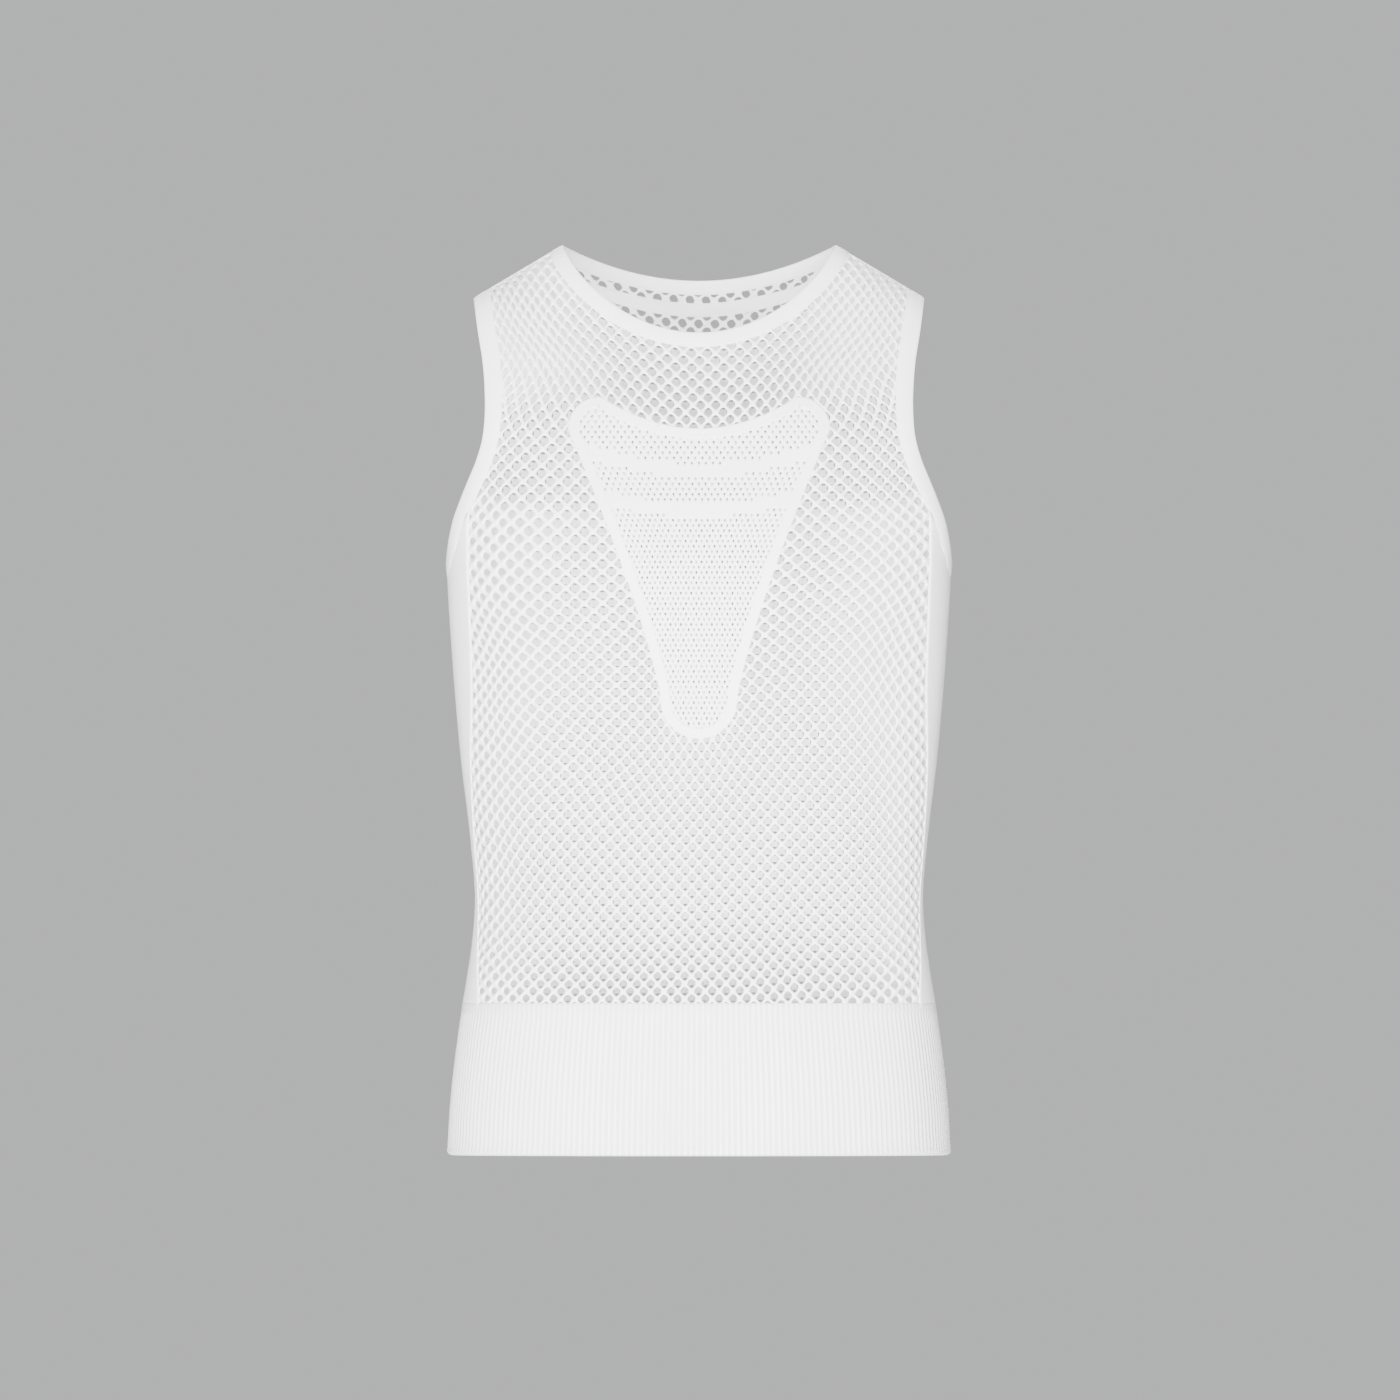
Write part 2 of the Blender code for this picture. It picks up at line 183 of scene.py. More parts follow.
def on_cloth(x, height, front):
    """The cloth's point at a distance from the middle and a height."""
    x, height, front = np.broadcast_arrays(np.asarray(x, float), height, front)
    depth = oval_depth(x, height, front) * np.sqrt(1 - closing(x, height, front) ** 2)
    return np.stack((x, np.where(front, -depth, depth), height), axis=-1)


def level(points):
    """1 on the cloth, less inside it and more outside."""
    x, y, height = np.moveaxis(points, -1, 0)
    front = y < 0
    half_width, front_depth, back_depth, square = torso_at(height)
    depth = np.where(front, front_depth, back_depth)
    across = np.abs(x) / half_width
    rise = closing(x, height, front)
    hanging = across**square + (np.abs(y) / depth) ** square
    flat = np.maximum(1 - across**square, 1e-6) ** (1 / square)
    return np.where(rise == 0, hanging, (y / (depth * flat)) ** 2 + rise**2)


def steepest(points):
    steps = np.eye(3) * 1e-5
    return np.stack([level(points + step) - level(points - step) for step in steps], axis=-1) / 2e-5


def unit(vectors):
    return vectors / np.linalg.norm(vectors, axis=-1, keepdims=True)


def outward(points):
    return unit(steepest(points))


def onto_cloth(points):
    for _ in range(6):
        slope = steepest(points)
        points = points - slope * ((level(points) - 1) / (slope**2).sum(axis=-1))[..., None]
    return points


middle = on_cloth(0, 0.40, True), on_cloth(0, 0.40, False)
print("chest depth in mm:", round(1000 * (middle[1][1] - middle[0][1])))

# %% [markdown]
# The openings are closed curves on the surface. `beside` walks a given distance from such a curve, over the
# cloth, and that is where the bindings and the seams lie.

# %% The edges of the neck and the armholes


def armhole_edge(turn):
    """The left armhole's edge: under the arm at 0, then up the back, over the shoulder and down the front."""
    rise = ARMHOLE[-1][0] - UNDERARM_HEIGHT
    height = UNDERARM_HEIGHT + rise * (1 - np.cos(turn)) / 2
    return on_cloth(armhole_at(height)[0], height, np.sin(turn) < 0)


def neck_edge(turn):
    """The neck's edge: the middle of the front at 0, then round by the wearer's left shoulder."""
    front = np.cos(turn) > 0
    drop = np.where(front, NECK_DROP["front"][0], NECK_DROP["back"][0])
    power = np.where(front, NECK_DROP["front"][1], NECK_DROP["back"][1])
    height = NECK_TIP_HEIGHT - drop * np.abs(np.cos(turn)) ** power
    return on_cloth(NECK_TIP_X * np.sin(turn), height, front)


def beside(edge, turn, distance):
    """The cloth's point at a distance from an opening's edge."""
    point = edge(turn)
    away = unit(np.cross(edge(turn + 0.01) - edge(turn - 0.01), outward(point)))
    return onto_cloth(point + np.asarray(distance)[..., None] * away)


FULL_TURN = 2 * math.pi
around = np.linspace(0, FULL_TURN, 721)
neck_length = np.linalg.norm(np.diff(neck_edge(around), axis=0), axis=1).sum()
armhole_length = np.linalg.norm(np.diff(armhole_edge(around), axis=0), axis=1).sum()
print(f"neck edge {1000 * neck_length:.0f} mm round, armhole edge {1000 * armhole_length:.0f} mm round")

# %% [markdown]
# ## Helpers for making pieces
#
# Each piece starts as a flat grid from `bmesh.ops.create_grid`, as cloth starts flat. Its flat place is kept
# as the UV map, in metres, so that a knit pattern has its true scale everywhere, and then the grid is laid on
# the surface. A closed piece has its faces turned outwards by Blender. An open one, such as the net, keeps
# the side that its grid had, because there Blender can only guess which side is outside.

# %% Helpers that lay a flat grid on the cloth
shown = bpy.data.collections.new("base_layer")
bpy.context.scene.collection.children.link(shown)


def flat_grid(columns, rows):
    """A grid from 0 to 1 both ways."""
    bm = bmesh.new()
    bmesh.ops.create_grid(bm, x_segments=columns, y_segments=rows, size=0.5)
    bmesh.ops.translate(bm, verts=bm.verts, vec=(0.5, 0.5, 0))
    return bm


def keep_flat_as_uv(bm, width, length):
    """Keeps where the cloth was before it was laid, in metres."""
    layer = bm.loops.layers.uv.new("flat")
    for face in bm.faces:
        for loop in face.loops:
            loop[layer].uv = (loop.vert.co.x * width, loop.vert.co.y * length)


def lay(bm, place):
    """Moves each vertex to place(u, v), where u and v are its flat coordinates."""
    vertices = list(bm.verts)
    flat = np.array([vertex.co[:2] for vertex in vertices])
    for vertex, point in zip(vertices, place(flat[:, 0], flat[:, 1])):
        vertex.co = point


def add_piece(name, bm, material, closed=True):
    """Makes the object, with heights turned into places above or below the origin."""
    bmesh.ops.translate(bm, verts=bm.verts, vec=(0, 0, -ORIGIN_HEIGHT))
    if closed:
        bmesh.ops.recalc_face_normals(bm, faces=bm.faces)
    mesh = bpy.data.meshes.new(name)
    bm.to_mesh(mesh)
    bm.free()
    mesh.shade_smooth()
    mesh.materials.append(material)
    piece = bpy.data.objects.new(name, mesh)
    shown.objects.link(piece)
    return piece


def other_side(piece, name):
    """The same piece for the wearer's right, mirrored in its mesh."""
    bm = bmesh.new()
    bm.from_mesh(piece.data)
    bmesh.ops.scale(bm, verts=bm.verts, vec=(-1, 1, 1))
    bmesh.ops.recalc_face_normals(bm, faces=bm.faces)
    mesh = bpy.data.meshes.new(name)
    bm.to_mesh(mesh)
    bm.free()
    mesh.shade_smooth()
    mesh.materials.append(piece.data.materials[0])
    twin = bpy.data.objects.new(name, mesh)
    shown.objects.link(twin)
    return twin


print("helpers ready")

# %% [markdown]
# ## The knit's finish
#
# Up close a knit is rows of small V-shaped stitches. They could be modelled, but there are hundreds of
# thousands. A bump that follows the piece's own UV map gives them at true size, and one node group serves
# every piece, with its own stitch size and strength. A broad, faint noise keeps the white from looking like
# plastic.

# %% A node group for knitted stitches
# The group's second output darkens the colour between the stitches as painted shade, mixed with a random tone
# from the noise.
STITCH_SHARE = 0.35  # how much of the shade comes from the stitches, and not from the noise


def new_group(name, inputs, outputs):
    group = bpy.data.node_groups.new(name, "ShaderNodeTree")
    for label, kind, value in inputs:
        socket = group.interface.new_socket(label, in_out="INPUT", socket_type=kind)
        if value is not None:
            socket.default_value = value
    for label, kind in outputs:
        group.interface.new_socket(label, in_out="OUTPUT", socket_type=kind)
    return group


def calculate(tree, operation, first, second=None, third=None):
    """A Math node. Each value is a number or another node's socket."""
    node = tree.nodes.new("ShaderNodeMath")
    node.operation = operation
    for socket, value in zip(node.inputs, (first, second, third)):
        if value is None:
            continue
        if isinstance(value, (int, float)):
            socket.default_value = value
        else:
            tree.links.new(value, socket)
    return node.outputs[0]


def knit_group():
    group = new_group(
        "knit_stitches",
        (
            ("Cloth", "NodeSocketVector", None),
            ("Stitch Width", "NodeSocketFloat", 0.0009),
            ("Stitch Height", "NodeSocketFloat", 0.0007),
        ),
        (("Height", "NodeSocketFloat"), ("Shade And Tone", "NodeSocketFloat")),
    )
    start = group.nodes.new("NodeGroupInput")
    end = group.nodes.new("NodeGroupOutput")
    parts = group.nodes.new("ShaderNodeSeparateXYZ")
    group.links.new(start.outputs["Cloth"], parts.inputs[0])
    across = calculate(group, "DIVIDE", parts.outputs["X"], start.outputs["Stitch Width"])
    up = calculate(group, "DIVIDE", parts.outputs["Y"], start.outputs["Stitch Height"])
    lean = calculate(group, "ABSOLUTE", calculate(group, "SUBTRACT", calculate(group, "FRACT", across), 0.5))
    from_leg = calculate(group, "MULTIPLY", calculate(group, "SUBTRACT", lean, 0.25), 4 * math.pi)
    legs = calculate(group, "MULTIPLY_ADD", calculate(group, "COSINE", from_leg), 0.5, 0.5)
    from_loop = calculate(group, "MULTIPLY", calculate(group, "ADD", up, lean), 2 * math.pi)
    loops = calculate(group, "MULTIPLY_ADD", calculate(group, "COSINE", from_loop), 0.25, 0.75)
    height = calculate(group, "MULTIPLY", legs, loops)
    noise = group.nodes.new("ShaderNodeTexNoise")
    noise.inputs["Scale"].default_value = 18
    noise.inputs["Detail"].default_value = 4
    group.links.new(start.outputs["Cloth"], noise.inputs["Vector"])
    group.links.new(height, end.inputs["Height"])
    cloudy = calculate(group, "MULTIPLY", noise.outputs[0], 1 - STITCH_SHARE)
    shade = calculate(group, "MULTIPLY_ADD", height, STITCH_SHARE, cloudy)
    group.links.new(shade, end.inputs["Shade And Tone"])
    return group


stitches = knit_group()
print("node group:", stitches.name)

# %% [markdown]
# Four finishes share the group, one for each way of knitting on this garment. They differ in stitch size and
# in how strongly the stitches stand out. In the rib knit the colour also falls off between the ribs, where
# light hardly reaches the yarn.

# %% Materials


def knit_material(name, colour, dark, stitch, depth, rib_pitch=None, bright_from=0.7):
    """dark is what the colour falls to: painted shade between stitches and in the rib grooves, with a random
    tone from the noise; stitch is (width, height) in metres.
    """
    material = bpy.data.materials.new(name)
    material.use_nodes = True
    tree = material.node_tree
    shader = tree.nodes["Principled BSDF"]
    shader.inputs["Roughness"].default_value = 0.88
    shader.inputs["Specular IOR Level"].default_value = 0.25
    shader.inputs["Sheen Weight"].default_value = 0.15
    shader.inputs["Sheen Roughness"].default_value = 0.5
    flat = tree.nodes.new("ShaderNodeUVMap")
    flat.uv_map = "flat"
    knit = tree.nodes.new("ShaderNodeGroup")
    knit.node_tree = stitches
    knit.inputs["Stitch Width"].default_value = stitch[0]
    knit.inputs["Stitch Height"].default_value = stitch[1]
    tree.links.new(flat.outputs["UV"], knit.inputs["Cloth"])
    ramp = tree.nodes.new("ShaderNodeValToRGB")
    ramp.color_ramp.elements[0].position = 0.2
    ramp.color_ramp.elements[0].color = (*dark, 1)
    ramp.color_ramp.elements[1].position = bright_from
    ramp.color_ramp.elements[1].color = (*colour, 1)
    shade = knit.outputs["Shade And Tone"]
    if rib_pitch:
        # Painted shade: the colour is darkened in the grooves between the ribs.
        parts = tree.nodes.new("ShaderNodeSeparateXYZ")
        tree.links.new(flat.outputs["UV"], parts.inputs[0])
        turns = calculate(tree, "MULTIPLY", parts.outputs["X"], 2 * math.pi / rib_pitch)
        groove = calculate(tree, "MULTIPLY_ADD", calculate(tree, "COSINE", turns), 0.5, 0.5)
        shade = calculate(tree, "MULTIPLY", shade, groove)
    tree.links.new(shade, ramp.inputs["Fac"])
    tree.links.new(ramp.outputs["Color"], shader.inputs["Base Color"])
    bump = tree.nodes.new("ShaderNodeBump")
    bump.inputs["Strength"].default_value = 0.6
    bump.inputs["Distance"].default_value = depth
    tree.links.new(knit.outputs["Height"], bump.inputs["Height"])
    tree.links.new(bump.outputs["Normal"], shader.inputs["Normal"])
    return material


WHITE = (0.90, 0.895, 0.89)
# What the colour falls to: painted shade between the stitches, and a random tone from the noise
SHADE_AND_TONE = (0.84, 0.835, 0.83)
# What the rib knit falls to: painted shade in the grooves and between stitches, with the noise's random tone
GROOVE_SHADE_AND_TONE = (0.66, 0.655, 0.65)
RIB_PITCH = 0.0040
net_yarn = knit_material("net_yarn", WHITE, SHADE_AND_TONE, (0.0008, 0.0006), 0.00012)
plain_knit = knit_material("fine_plain_knit", WHITE, SHADE_AND_TONE, (0.0010, 0.0008), 0.00015)
close_binding = knit_material("close_binding", WHITE, SHADE_AND_TONE, (0.0009, 0.0007), 0.00012)
rib_knit = knit_material("waist_rib_knit", WHITE, GROOVE_SHADE_AND_TONE, (0.0010, 0.0009), 0.00015, RIB_PITCH, 0.45)
print("materials:", [material.name for material in (net_yarn, plain_knit, close_binding, rib_knit)])

# %% [markdown]
# ## The net
#
# The net is a staggered lattice of oval holes. The knit is stretched unevenly over the chest, so at the
# breast the columns stand 11 to 13 mm apart, towards the shoulders they close up to 6 mm, and the rows sag.
# One even pattern laid over the whole front would miss this. Instead a table, measured on the photograph, says
# where every fourth column crosses every seventh row, and smooth curves give the rest.

# %% Where the net's columns and rows lie
KNOWN_COLUMNS = range(-20, 21, 4)
# row, then those columns' distances from the middle and their heights, in mm
NET_ROWS = (
    (-82, (-193.7, -158.1, -121.1, -82.8, -43.7, -5.1, 33.3, 72.0, 111.7, 152.2, 192.5),
     (88.7, 89.2, 89.2, 88.6, 88.1, 87.3, 87.2, 88.9, 90.9, 93.0, 95.6)),
    (-75, (-188.4, -154.3, -119.0, -80.2, -42.7, -5.1, 33.0, 70.7, 111.0, 150.2, 187.3),
     (124.1, 124.1, 124.0, 123.5, 123.9, 124.5, 125.2, 127.4, 128.2, 129.0, 130.4)),
    (-68, (-184.3, -149.7, -117.1, -80.1, -42.6, -4.9, 32.5, 70.7, 110.3, 146.6, 182.5),
     (159.9, 159.0, 159.2, 159.6, 159.2, 160.3, 161.7, 163.4, 163.8, 164.4, 164.8)),
    (-61, (-183.3, -149.3, -118.4, -81.6, -42.5, -4.7, 32.6, 72.3, 111.6, 145.3, 178.8),
     (196.5, 196.4, 197.0, 198.2, 197.1, 197.2, 198.8, 199.9, 199.3, 198.9, 198.9)),
    (-54, (-186.0, -152.9, -121.1, -80.6, -40.7, -3.7, 33.0, 72.4, 112.3, 144.9, 177.9),
     (233.7, 234.5, 235.1, 236.0, 234.2, 234.3, 235.9, 236.7, 235.5, 234.3, 233.7)),
    (-47, (-190.9, -155.8, -120.6, -75.8, -35.8, -2.3, 30.8, 69.6, 110.6, 144.5, 180.7),
     (271.0, 271.5, 272.4, 273.8, 271.5, 271.1, 273.2, 274.5, 273.3, 272.0, 270.7)),
    (-40, (-193.0, -156.5, -125.9, -81.1, -35.3, -2.9, 28.2, 70.7, 111.8, 142.8, 181.0),
     (308.0, 308.0, 308.8, 310.0, 309.6, 309.2, 310.7, 313.7, 313.0, 311.4, 309.5)),
    (-33, (-196.0, -159.2, -127.2, -80.7, -34.6, -3.9, 24.8, 69.2, 113.5, 146.4, 186.0),
     (345.0, 345.1, 344.8, 345.3, 346.2, 346.6, 347.8, 351.6, 353.1, 351.4, 348.9)),
    (-26, (-204.0, -170.0, -135.0, -85.6, -37.0, -4.8, 23.5, 70.7, 119.8, 158.2, 196.0),
     (381.3, 381.2, 381.0, 381.6, 383.1, 383.9, 384.9, 387.3, 390.0, 388.8, 388.1)),
    (-19, (-210.0, -176.0, -136.8, -85.4, -38.4, -5.0, 27.7, 75.6, 123.5, 164.0, 201.0),
     (417.8, 418.0, 420.7, 420.1, 420.6, 421.7, 422.3, 423.4, 426.2, 426.8, 426.9)),
    (-12, (-205.0, -170.0, -133.6, -85.0, -40.5, -4.3, 31.7, 74.8, 120.5, 160.3, 198.0),
     (456.6, 457.4, 460.4, 460.8, 460.2, 460.3, 460.7, 461.5, 461.7, 463.3, 465.4)),
    (-5, (-197.0, -165.0, -128.0, -84.5, -43.5, -3.6, 35.5, 74.0, 116.3, 155.0, 190.0),
     (498.1, 498.1, 499.3, 500.7, 499.5, 498.4, 498.8, 499.6, 499.5, 500.5, 502.8)),
    (2, (-170.3, -141.2, -113.0, -83.5, -47.9, -4.6, 38.0, 73.1, 102.5, 134.9, 168.2),
     (540.9, 541.7, 542.1, 541.9, 538.7, 534.4, 535.9, 538.3, 538.7, 539.4, 538.7)),
    (9, (-172.3, -145.4, -121.2, -91.2, -50.6, -5.7, 38.8, 77.7, 107.8, 135.7, 164.8),
     (583.6, 583.1, 581.9, 579.3, 575.1, 570.9, 571.3, 573.0, 573.5, 574.0, 572.4)),
    (16, (-179.7, -152.3, -125.0, -91.7, -50.9, -6.7, 37.4, 77.8, 111.0, 138.2, 166.6),
     (625.4, 622.4, 619.2, 616.1, 612.1, 608.9, 607.3, 606.9, 605.9, 604.4, 603.9)),
    (23, (-190.1, -158.7, -125.9, -89.7, -49.7, -7.4, 34.8, 74.4, 109.9, 141.4, 171.9),
     (666.5, 661.9, 657.4, 653.2, 649.4, 646.1, 643.4, 641.1, 638.9, 636.6, 634.7)),
    (30, (-201.4, -164.3, -126.5, -87.6, -48.0, -8.0, 31.9, 70.8, 108.1, 143.9, 178.4),
     (707.2, 701.4, 695.8, 690.9, 686.7, 683.0, 679.3, 675.5, 672.0, 668.7, 665.5)),
)  # fmt: skip
LOW_ROW, HIGH_ROW = NET_ROWS[0][0], NET_ROWS[-1][0]
OUTER_COLUMN = 24
SIDE_COLUMN = 0.009  # a column's width past the last known one, as seen from the front
SIDE_LINE = 0.9995  # of the half width: just short of where the cloth is seen edge on
WIDEST_COLUMN = 0.0150  # the most that the knit stretches
LONGEST_ROW = 0.0090


# %% [markdown]
# The table is what is seen from the front. Round the sides the cloth turns away, and a column that looks 9 mm
# wide could be 30 mm of knit. So the columns and rows are counted again along the cloth itself, and where one
# would be longer than the knit can stretch, there are more of them.

# %% Turn the table into places on the cloth


def recount(points, count, longest):
    """Counts columns or rows along a line anew from 0, so that none is longer than the longest allowed."""
    steps = np.linalg.norm(np.diff(points, axis=0), axis=1)
    again = np.concatenate(([0], np.cumsum(np.maximum(np.diff(count), steps / longest))))
    return again - np.interp(0, count, again)


def net_table(front):
    """The cloth's points by sixths of a column and thirds of a row, and the row where each column ends."""
    rows = np.arange(3 * LOW_ROW, 3 * HIGH_ROW + 1) / 3
    columns = np.arange(-6 * OUTER_COLUMN, 6 * OUTER_COLUMN + 1) / 6
    fine = np.linspace(-OUTER_COLUMN, OUTER_COLUMN, 2401)
    known = curve_through([(row, *x, *height) for row, x, height in NET_ROWS])(rows) / 1000
    known_x, known_heights = np.split(known, 2)
    beyond = fine - np.clip(fine, KNOWN_COLUMNS[0], KNOWN_COLUMNS[-1])
    x = curve_through(np.column_stack((KNOWN_COLUMNS, known_x)))(fine) + SIDE_COLUMN * beyond
    heights = curve_through(np.column_stack((KNOWN_COLUMNS, known_heights)))(fine)
    side = SIDE_LINE * torso_at(heights)[0]
    x = np.clip(x, -side, side)
    points = on_cloth(x, heights, front)
    x_table, height_table = np.empty((2, len(rows), len(columns)))
    for i in range(len(rows)):
        again = recount(points[i], fine, WIDEST_COLUMN)
        x_table[i] = np.interp(columns, again, x[i])
        height_table[i] = np.interp(columns, again, heights[i])

    climb = np.arange(30 * LOW_ROW, 30 * HIGH_ROW + 1) / 30
    table = np.empty((len(columns), len(rows), 3))
    last_rows = np.empty(len(columns))
    for j in range(len(columns)):
        x = np.interp(climb, rows, x_table[:, j])
        height = np.interp(climb, rows, height_table[:, j])
        over = np.nonzero(height > shoulder_line(x))[0]
        end = over[0] + 1 if len(over) else len(climb)
        points = on_cloth(x[:end], height[:end], front)
        again = recount(points, climb[:end], LONGEST_ROW)
        last_rows[j] = again[-1]
        for axis in range(3):
            table[j, :, axis] = np.interp(rows, again, points[:, axis])
    return table, last_rows


net_tables = {front: net_table(front) for front in (True, False)}
print("net table:", net_tables[True][0].shape[:2], "points")

# %% [markdown]
# ## Where the net ends
#
# The net stops where another piece begins, so the outlines of those pieces come first. The breastbone panel's
# outline is an arc at its foot, a tapering side, a rounded corner and a dipping top, mirrored to both sides.

# %% The breastbone panel's outline
BIB_TOP_X = 0.090
BIB_TOP_HEIGHT = 0.5240
BIB_TOP_DIP = 0.0220
BIB_CORNER = 0.022
BIB_STEM_X = 0.026
BIB_END_HEIGHT = 0.2890
BIB_TAPER = 1.25


def bib_outline(count):
    """Points round the panel's edge, the same distance apart, as (x, height)."""
    end_centre = BIB_END_HEIGHT + BIB_STEM_X
    corner_height = BIB_TOP_HEIGHT - BIB_CORNER
    corner_x = BIB_TOP_X - BIB_CORNER
    quarter = np.linspace(0, math.pi / 2, 40)
    share = np.linspace(0, 1, 80)
    foot = BIB_STEM_X * np.sin(quarter), end_centre - BIB_STEM_X * np.cos(quarter)
    taper_x = BIB_STEM_X + (BIB_TOP_X - BIB_STEM_X) * share**BIB_TAPER
    taper = taper_x, end_centre + (corner_height - end_centre) * share
    corner = corner_x + BIB_CORNER * np.cos(quarter), corner_height + BIB_CORNER * np.sin(quarter)
    top = corner_x * share[::-1], BIB_TOP_HEIGHT - BIB_TOP_DIP * (1 - share[::-1] ** 2)
    half = np.column_stack(foot)
    for stretch in (taper, corner, top):
        half = np.concatenate((half, np.column_stack(stretch)[1:]))
    whole = np.concatenate((half, half[-2::-1] * (-1, 1)))
    along = np.concatenate(([0], np.cumsum(np.linalg.norm(np.diff(whole, axis=0), axis=1))))
    wanted = np.linspace(0, along[-1], count + 1)[:-1]
    return np.column_stack([np.interp(wanted, along, whole[:, axis]) for axis in (0, 1)])


def turned_inward(outline):
    """At each point of the panel's outline, the direction straight in from it."""
    along = np.roll(outline, -1, axis=0) - np.roll(outline, 1, axis=0)
    return unit(np.column_stack((-along[:, 1], along[:, 0])))


bib_edge = bib_outline(600)
bib_inward = turned_inward(bib_edge)
print(f"breastbone panel {1000 * np.ptp(bib_edge[:, 0]):.0f} x {1000 * np.ptp(bib_edge[:, 1]):.0f} mm")

# %% [markdown]
# The ragged edge of the net is hidden inside the next piece's wall. To find it, `past_seams` measures how far
# a point lies past the nearest seam: of the panel, of a side strip, of the neck or of an armhole.

# %% How far a point is past the nearest seam
STRIP_TOP_TURN = FULL_TURN * 5 / 32  # where round the armhole the side strip's seams end


def nearest(points, curve):
    """Which of a curve's points is nearest to each point, and how far away it is."""
    tree = KDTree(len(curve))
    for k, place in enumerate(curve):
        tree.insert(place, k)
    tree.balance()
    found = [tree.find(point) for point in points]
    return np.array([k for _, k, _ in found]), np.array([distance for _, _, distance in found])


def inside_bib(x, height):
    """How far points are inside the panel's outline (negative outside), and the nearest place on it."""
    k, _ = nearest(np.column_stack((x, height, 0 * x)), np.column_stack((bib_edge, 0 * bib_edge[:, 0])))
    return ((np.column_stack((x, height)) - bib_edge[k]) * bib_inward[k]).sum(axis=1), k


def strip_reach(front):
    """The side strip's reach at each height, up to where it meets the armhole's binding."""
    turn = np.array(-STRIP_TOP_TURN if front else STRIP_TOP_TURN)
    top = beside(armhole_edge, turn, ARM_BINDING_WIDTH)
    return curve_through((*STRIP_SEAM, (top[2], abs(top[1])))), top[2]


def on_side(y, height):
    """The cloth's point on the wearer's left, at a distance from the side line, negative in front of it."""
    half_width, front_depth, back_depth, square = torso_at(height)
    depth = np.where(y < 0, front_depth, back_depth)
    return np.stack((half_width * (1 - (np.abs(y) / depth) ** square) ** (1 / square), y, height), axis=-1)


def past_neck_seam(points):
    """How far points are past the neck binding's seam, and the nearest turn of the neck's edge."""
    x, y, height = np.abs(points[:, 0]), points[:, 1], points[:, 2]
    drop, power = (np.where(y < 0, NECK_DROP["front"][i], NECK_DROP["back"][i]) for i in (0, 1))
    across = np.clip(x / NECK_TIP_X, 0, 1)
    in_opening = (x < NECK_TIP_X) & (height > NECK_TIP_HEIGHT - drop * np.sqrt(1 - across**2) ** power)
    k, distance = nearest(points, neck_edge(around))
    return NECK_BINDING_WIDTH + np.where(in_opening, distance, -distance), around[k]


def past_arm_seam(points):
    """The same for the wearer's left armhole."""
    in_opening = (points[:, 2] > UNDERARM_HEIGHT) & (points[:, 0] > armhole_at(points[:, 2])[0])
    k, distance = nearest(points, armhole_edge(around))
    return ARM_BINDING_WIDTH + np.where(in_opening, distance, -distance), around[k]


def to_left(points):
    return np.column_stack((np.abs(points[:, 0]), points[:, 1:]))


def past_seams(points, front):
    """How far points are past the nearest seam of the net, negative where the net shows."""
    height = points[:, 2]
    reach_at, strip_top = strip_reach(front)
    past_strip = np.where(height < strip_top, reach_at(height)[0] - np.abs(points[:, 1]), -1)
    depths = [WAIST_BAND_HEIGHT - height, past_strip]
    depths += [past_neck_seam(points)[0], past_arm_seam(to_left(points))[0]]
    if front:
        depths.append(inside_bib(points[:, 0], height)[0])
    return np.max(depths, axis=0)


seam_test = past_seams(np.array([on_cloth(0, 0.2, True), on_cloth(0, 0.4, True)]), True)
print("past the seams, in mm, at the belly and on the panel:", np.round(1000 * seam_test))

# %% [markdown]
# A cell of the net is kept if it shows, or if its middle is less than 6 mm past a seam. More than 4 mm past a
# seam the net is gathered up, so that nothing comes out on the other side of a narrow band. Trimming each
# cell along the seam would leave slivers, and moving the hidden points doesn't.

# %% Gather up the net's hidden edges
PAST_SEAM = 0.006
TUCKED = 0.004
GATHERING = 0.15  # how much is left of the depth past that


def gathered(depth):
    return np.minimum(depth, TUCKED + GATHERING * np.maximum(depth - TUCKED, 0))


def gather(points, front):
    """Gathers up the net's ragged edges where they are hidden inside other pieces."""
    depth = WAIST_BAND_HEIGHT - points[:, 2]
    deep = depth > TUCKED
    points[deep] = on_cloth(points[deep, 0], WAIST_BAND_HEIGHT - gathered(depth[deep]), front)

    reach_at, strip_top = strip_reach(front)
    depth = reach_at(points[:, 2])[0] - np.abs(points[:, 1])
    deep = (depth > TUCKED) & (points[:, 2] < strip_top)
    y = (reach_at(points[deep, 2])[0] - gathered(depth[deep])) * (-1 if front else 1)
    right = np.sign(points[deep, :1]) * (1, 0, 0) + (0, 1, 1)
    points[deep] = on_side(y, points[deep, 2]) * right

    depth, turn = past_neck_seam(points)
    deep = depth > TUCKED
    points[deep] = beside(neck_edge, turn[deep], NECK_BINDING_WIDTH - gathered(depth[deep]))

    depth, turn = past_arm_seam(to_left(points))
    deep = depth > TUCKED
    right = np.sign(points[deep, :1]) * (1, 0, 0) + (0, 1, 1)
    points[deep] = beside(armhole_edge, turn[deep], ARM_BINDING_WIDTH - gathered(depth[deep])) * right

    if front:
        depth, k = inside_bib(points[:, 0], points[:, 2])
        deep = (depth > TUCKED) & (points[:, 1] < 0)
        x, height = (bib_edge[k[deep]] + gathered(depth[deep])[:, None] * bib_inward[k[deep]]).T
        points[deep] = on_cloth(x, height, True)
    return points


print("10 mm past a seam becomes", round(1000 * float(gathered(np.array(0.010))), 1), "mm")

# %% [markdown]
# ## Making the net
#
# Drilling thousands of holes with Booleans would be slow. Instead a square grid is turned by an eighth of a
# turn, so that each of its cells is a diamond round one hole. Later each diamond is inset: the inset's inner
# face becomes the hole and is deleted.

# %% A lattice of diamonds


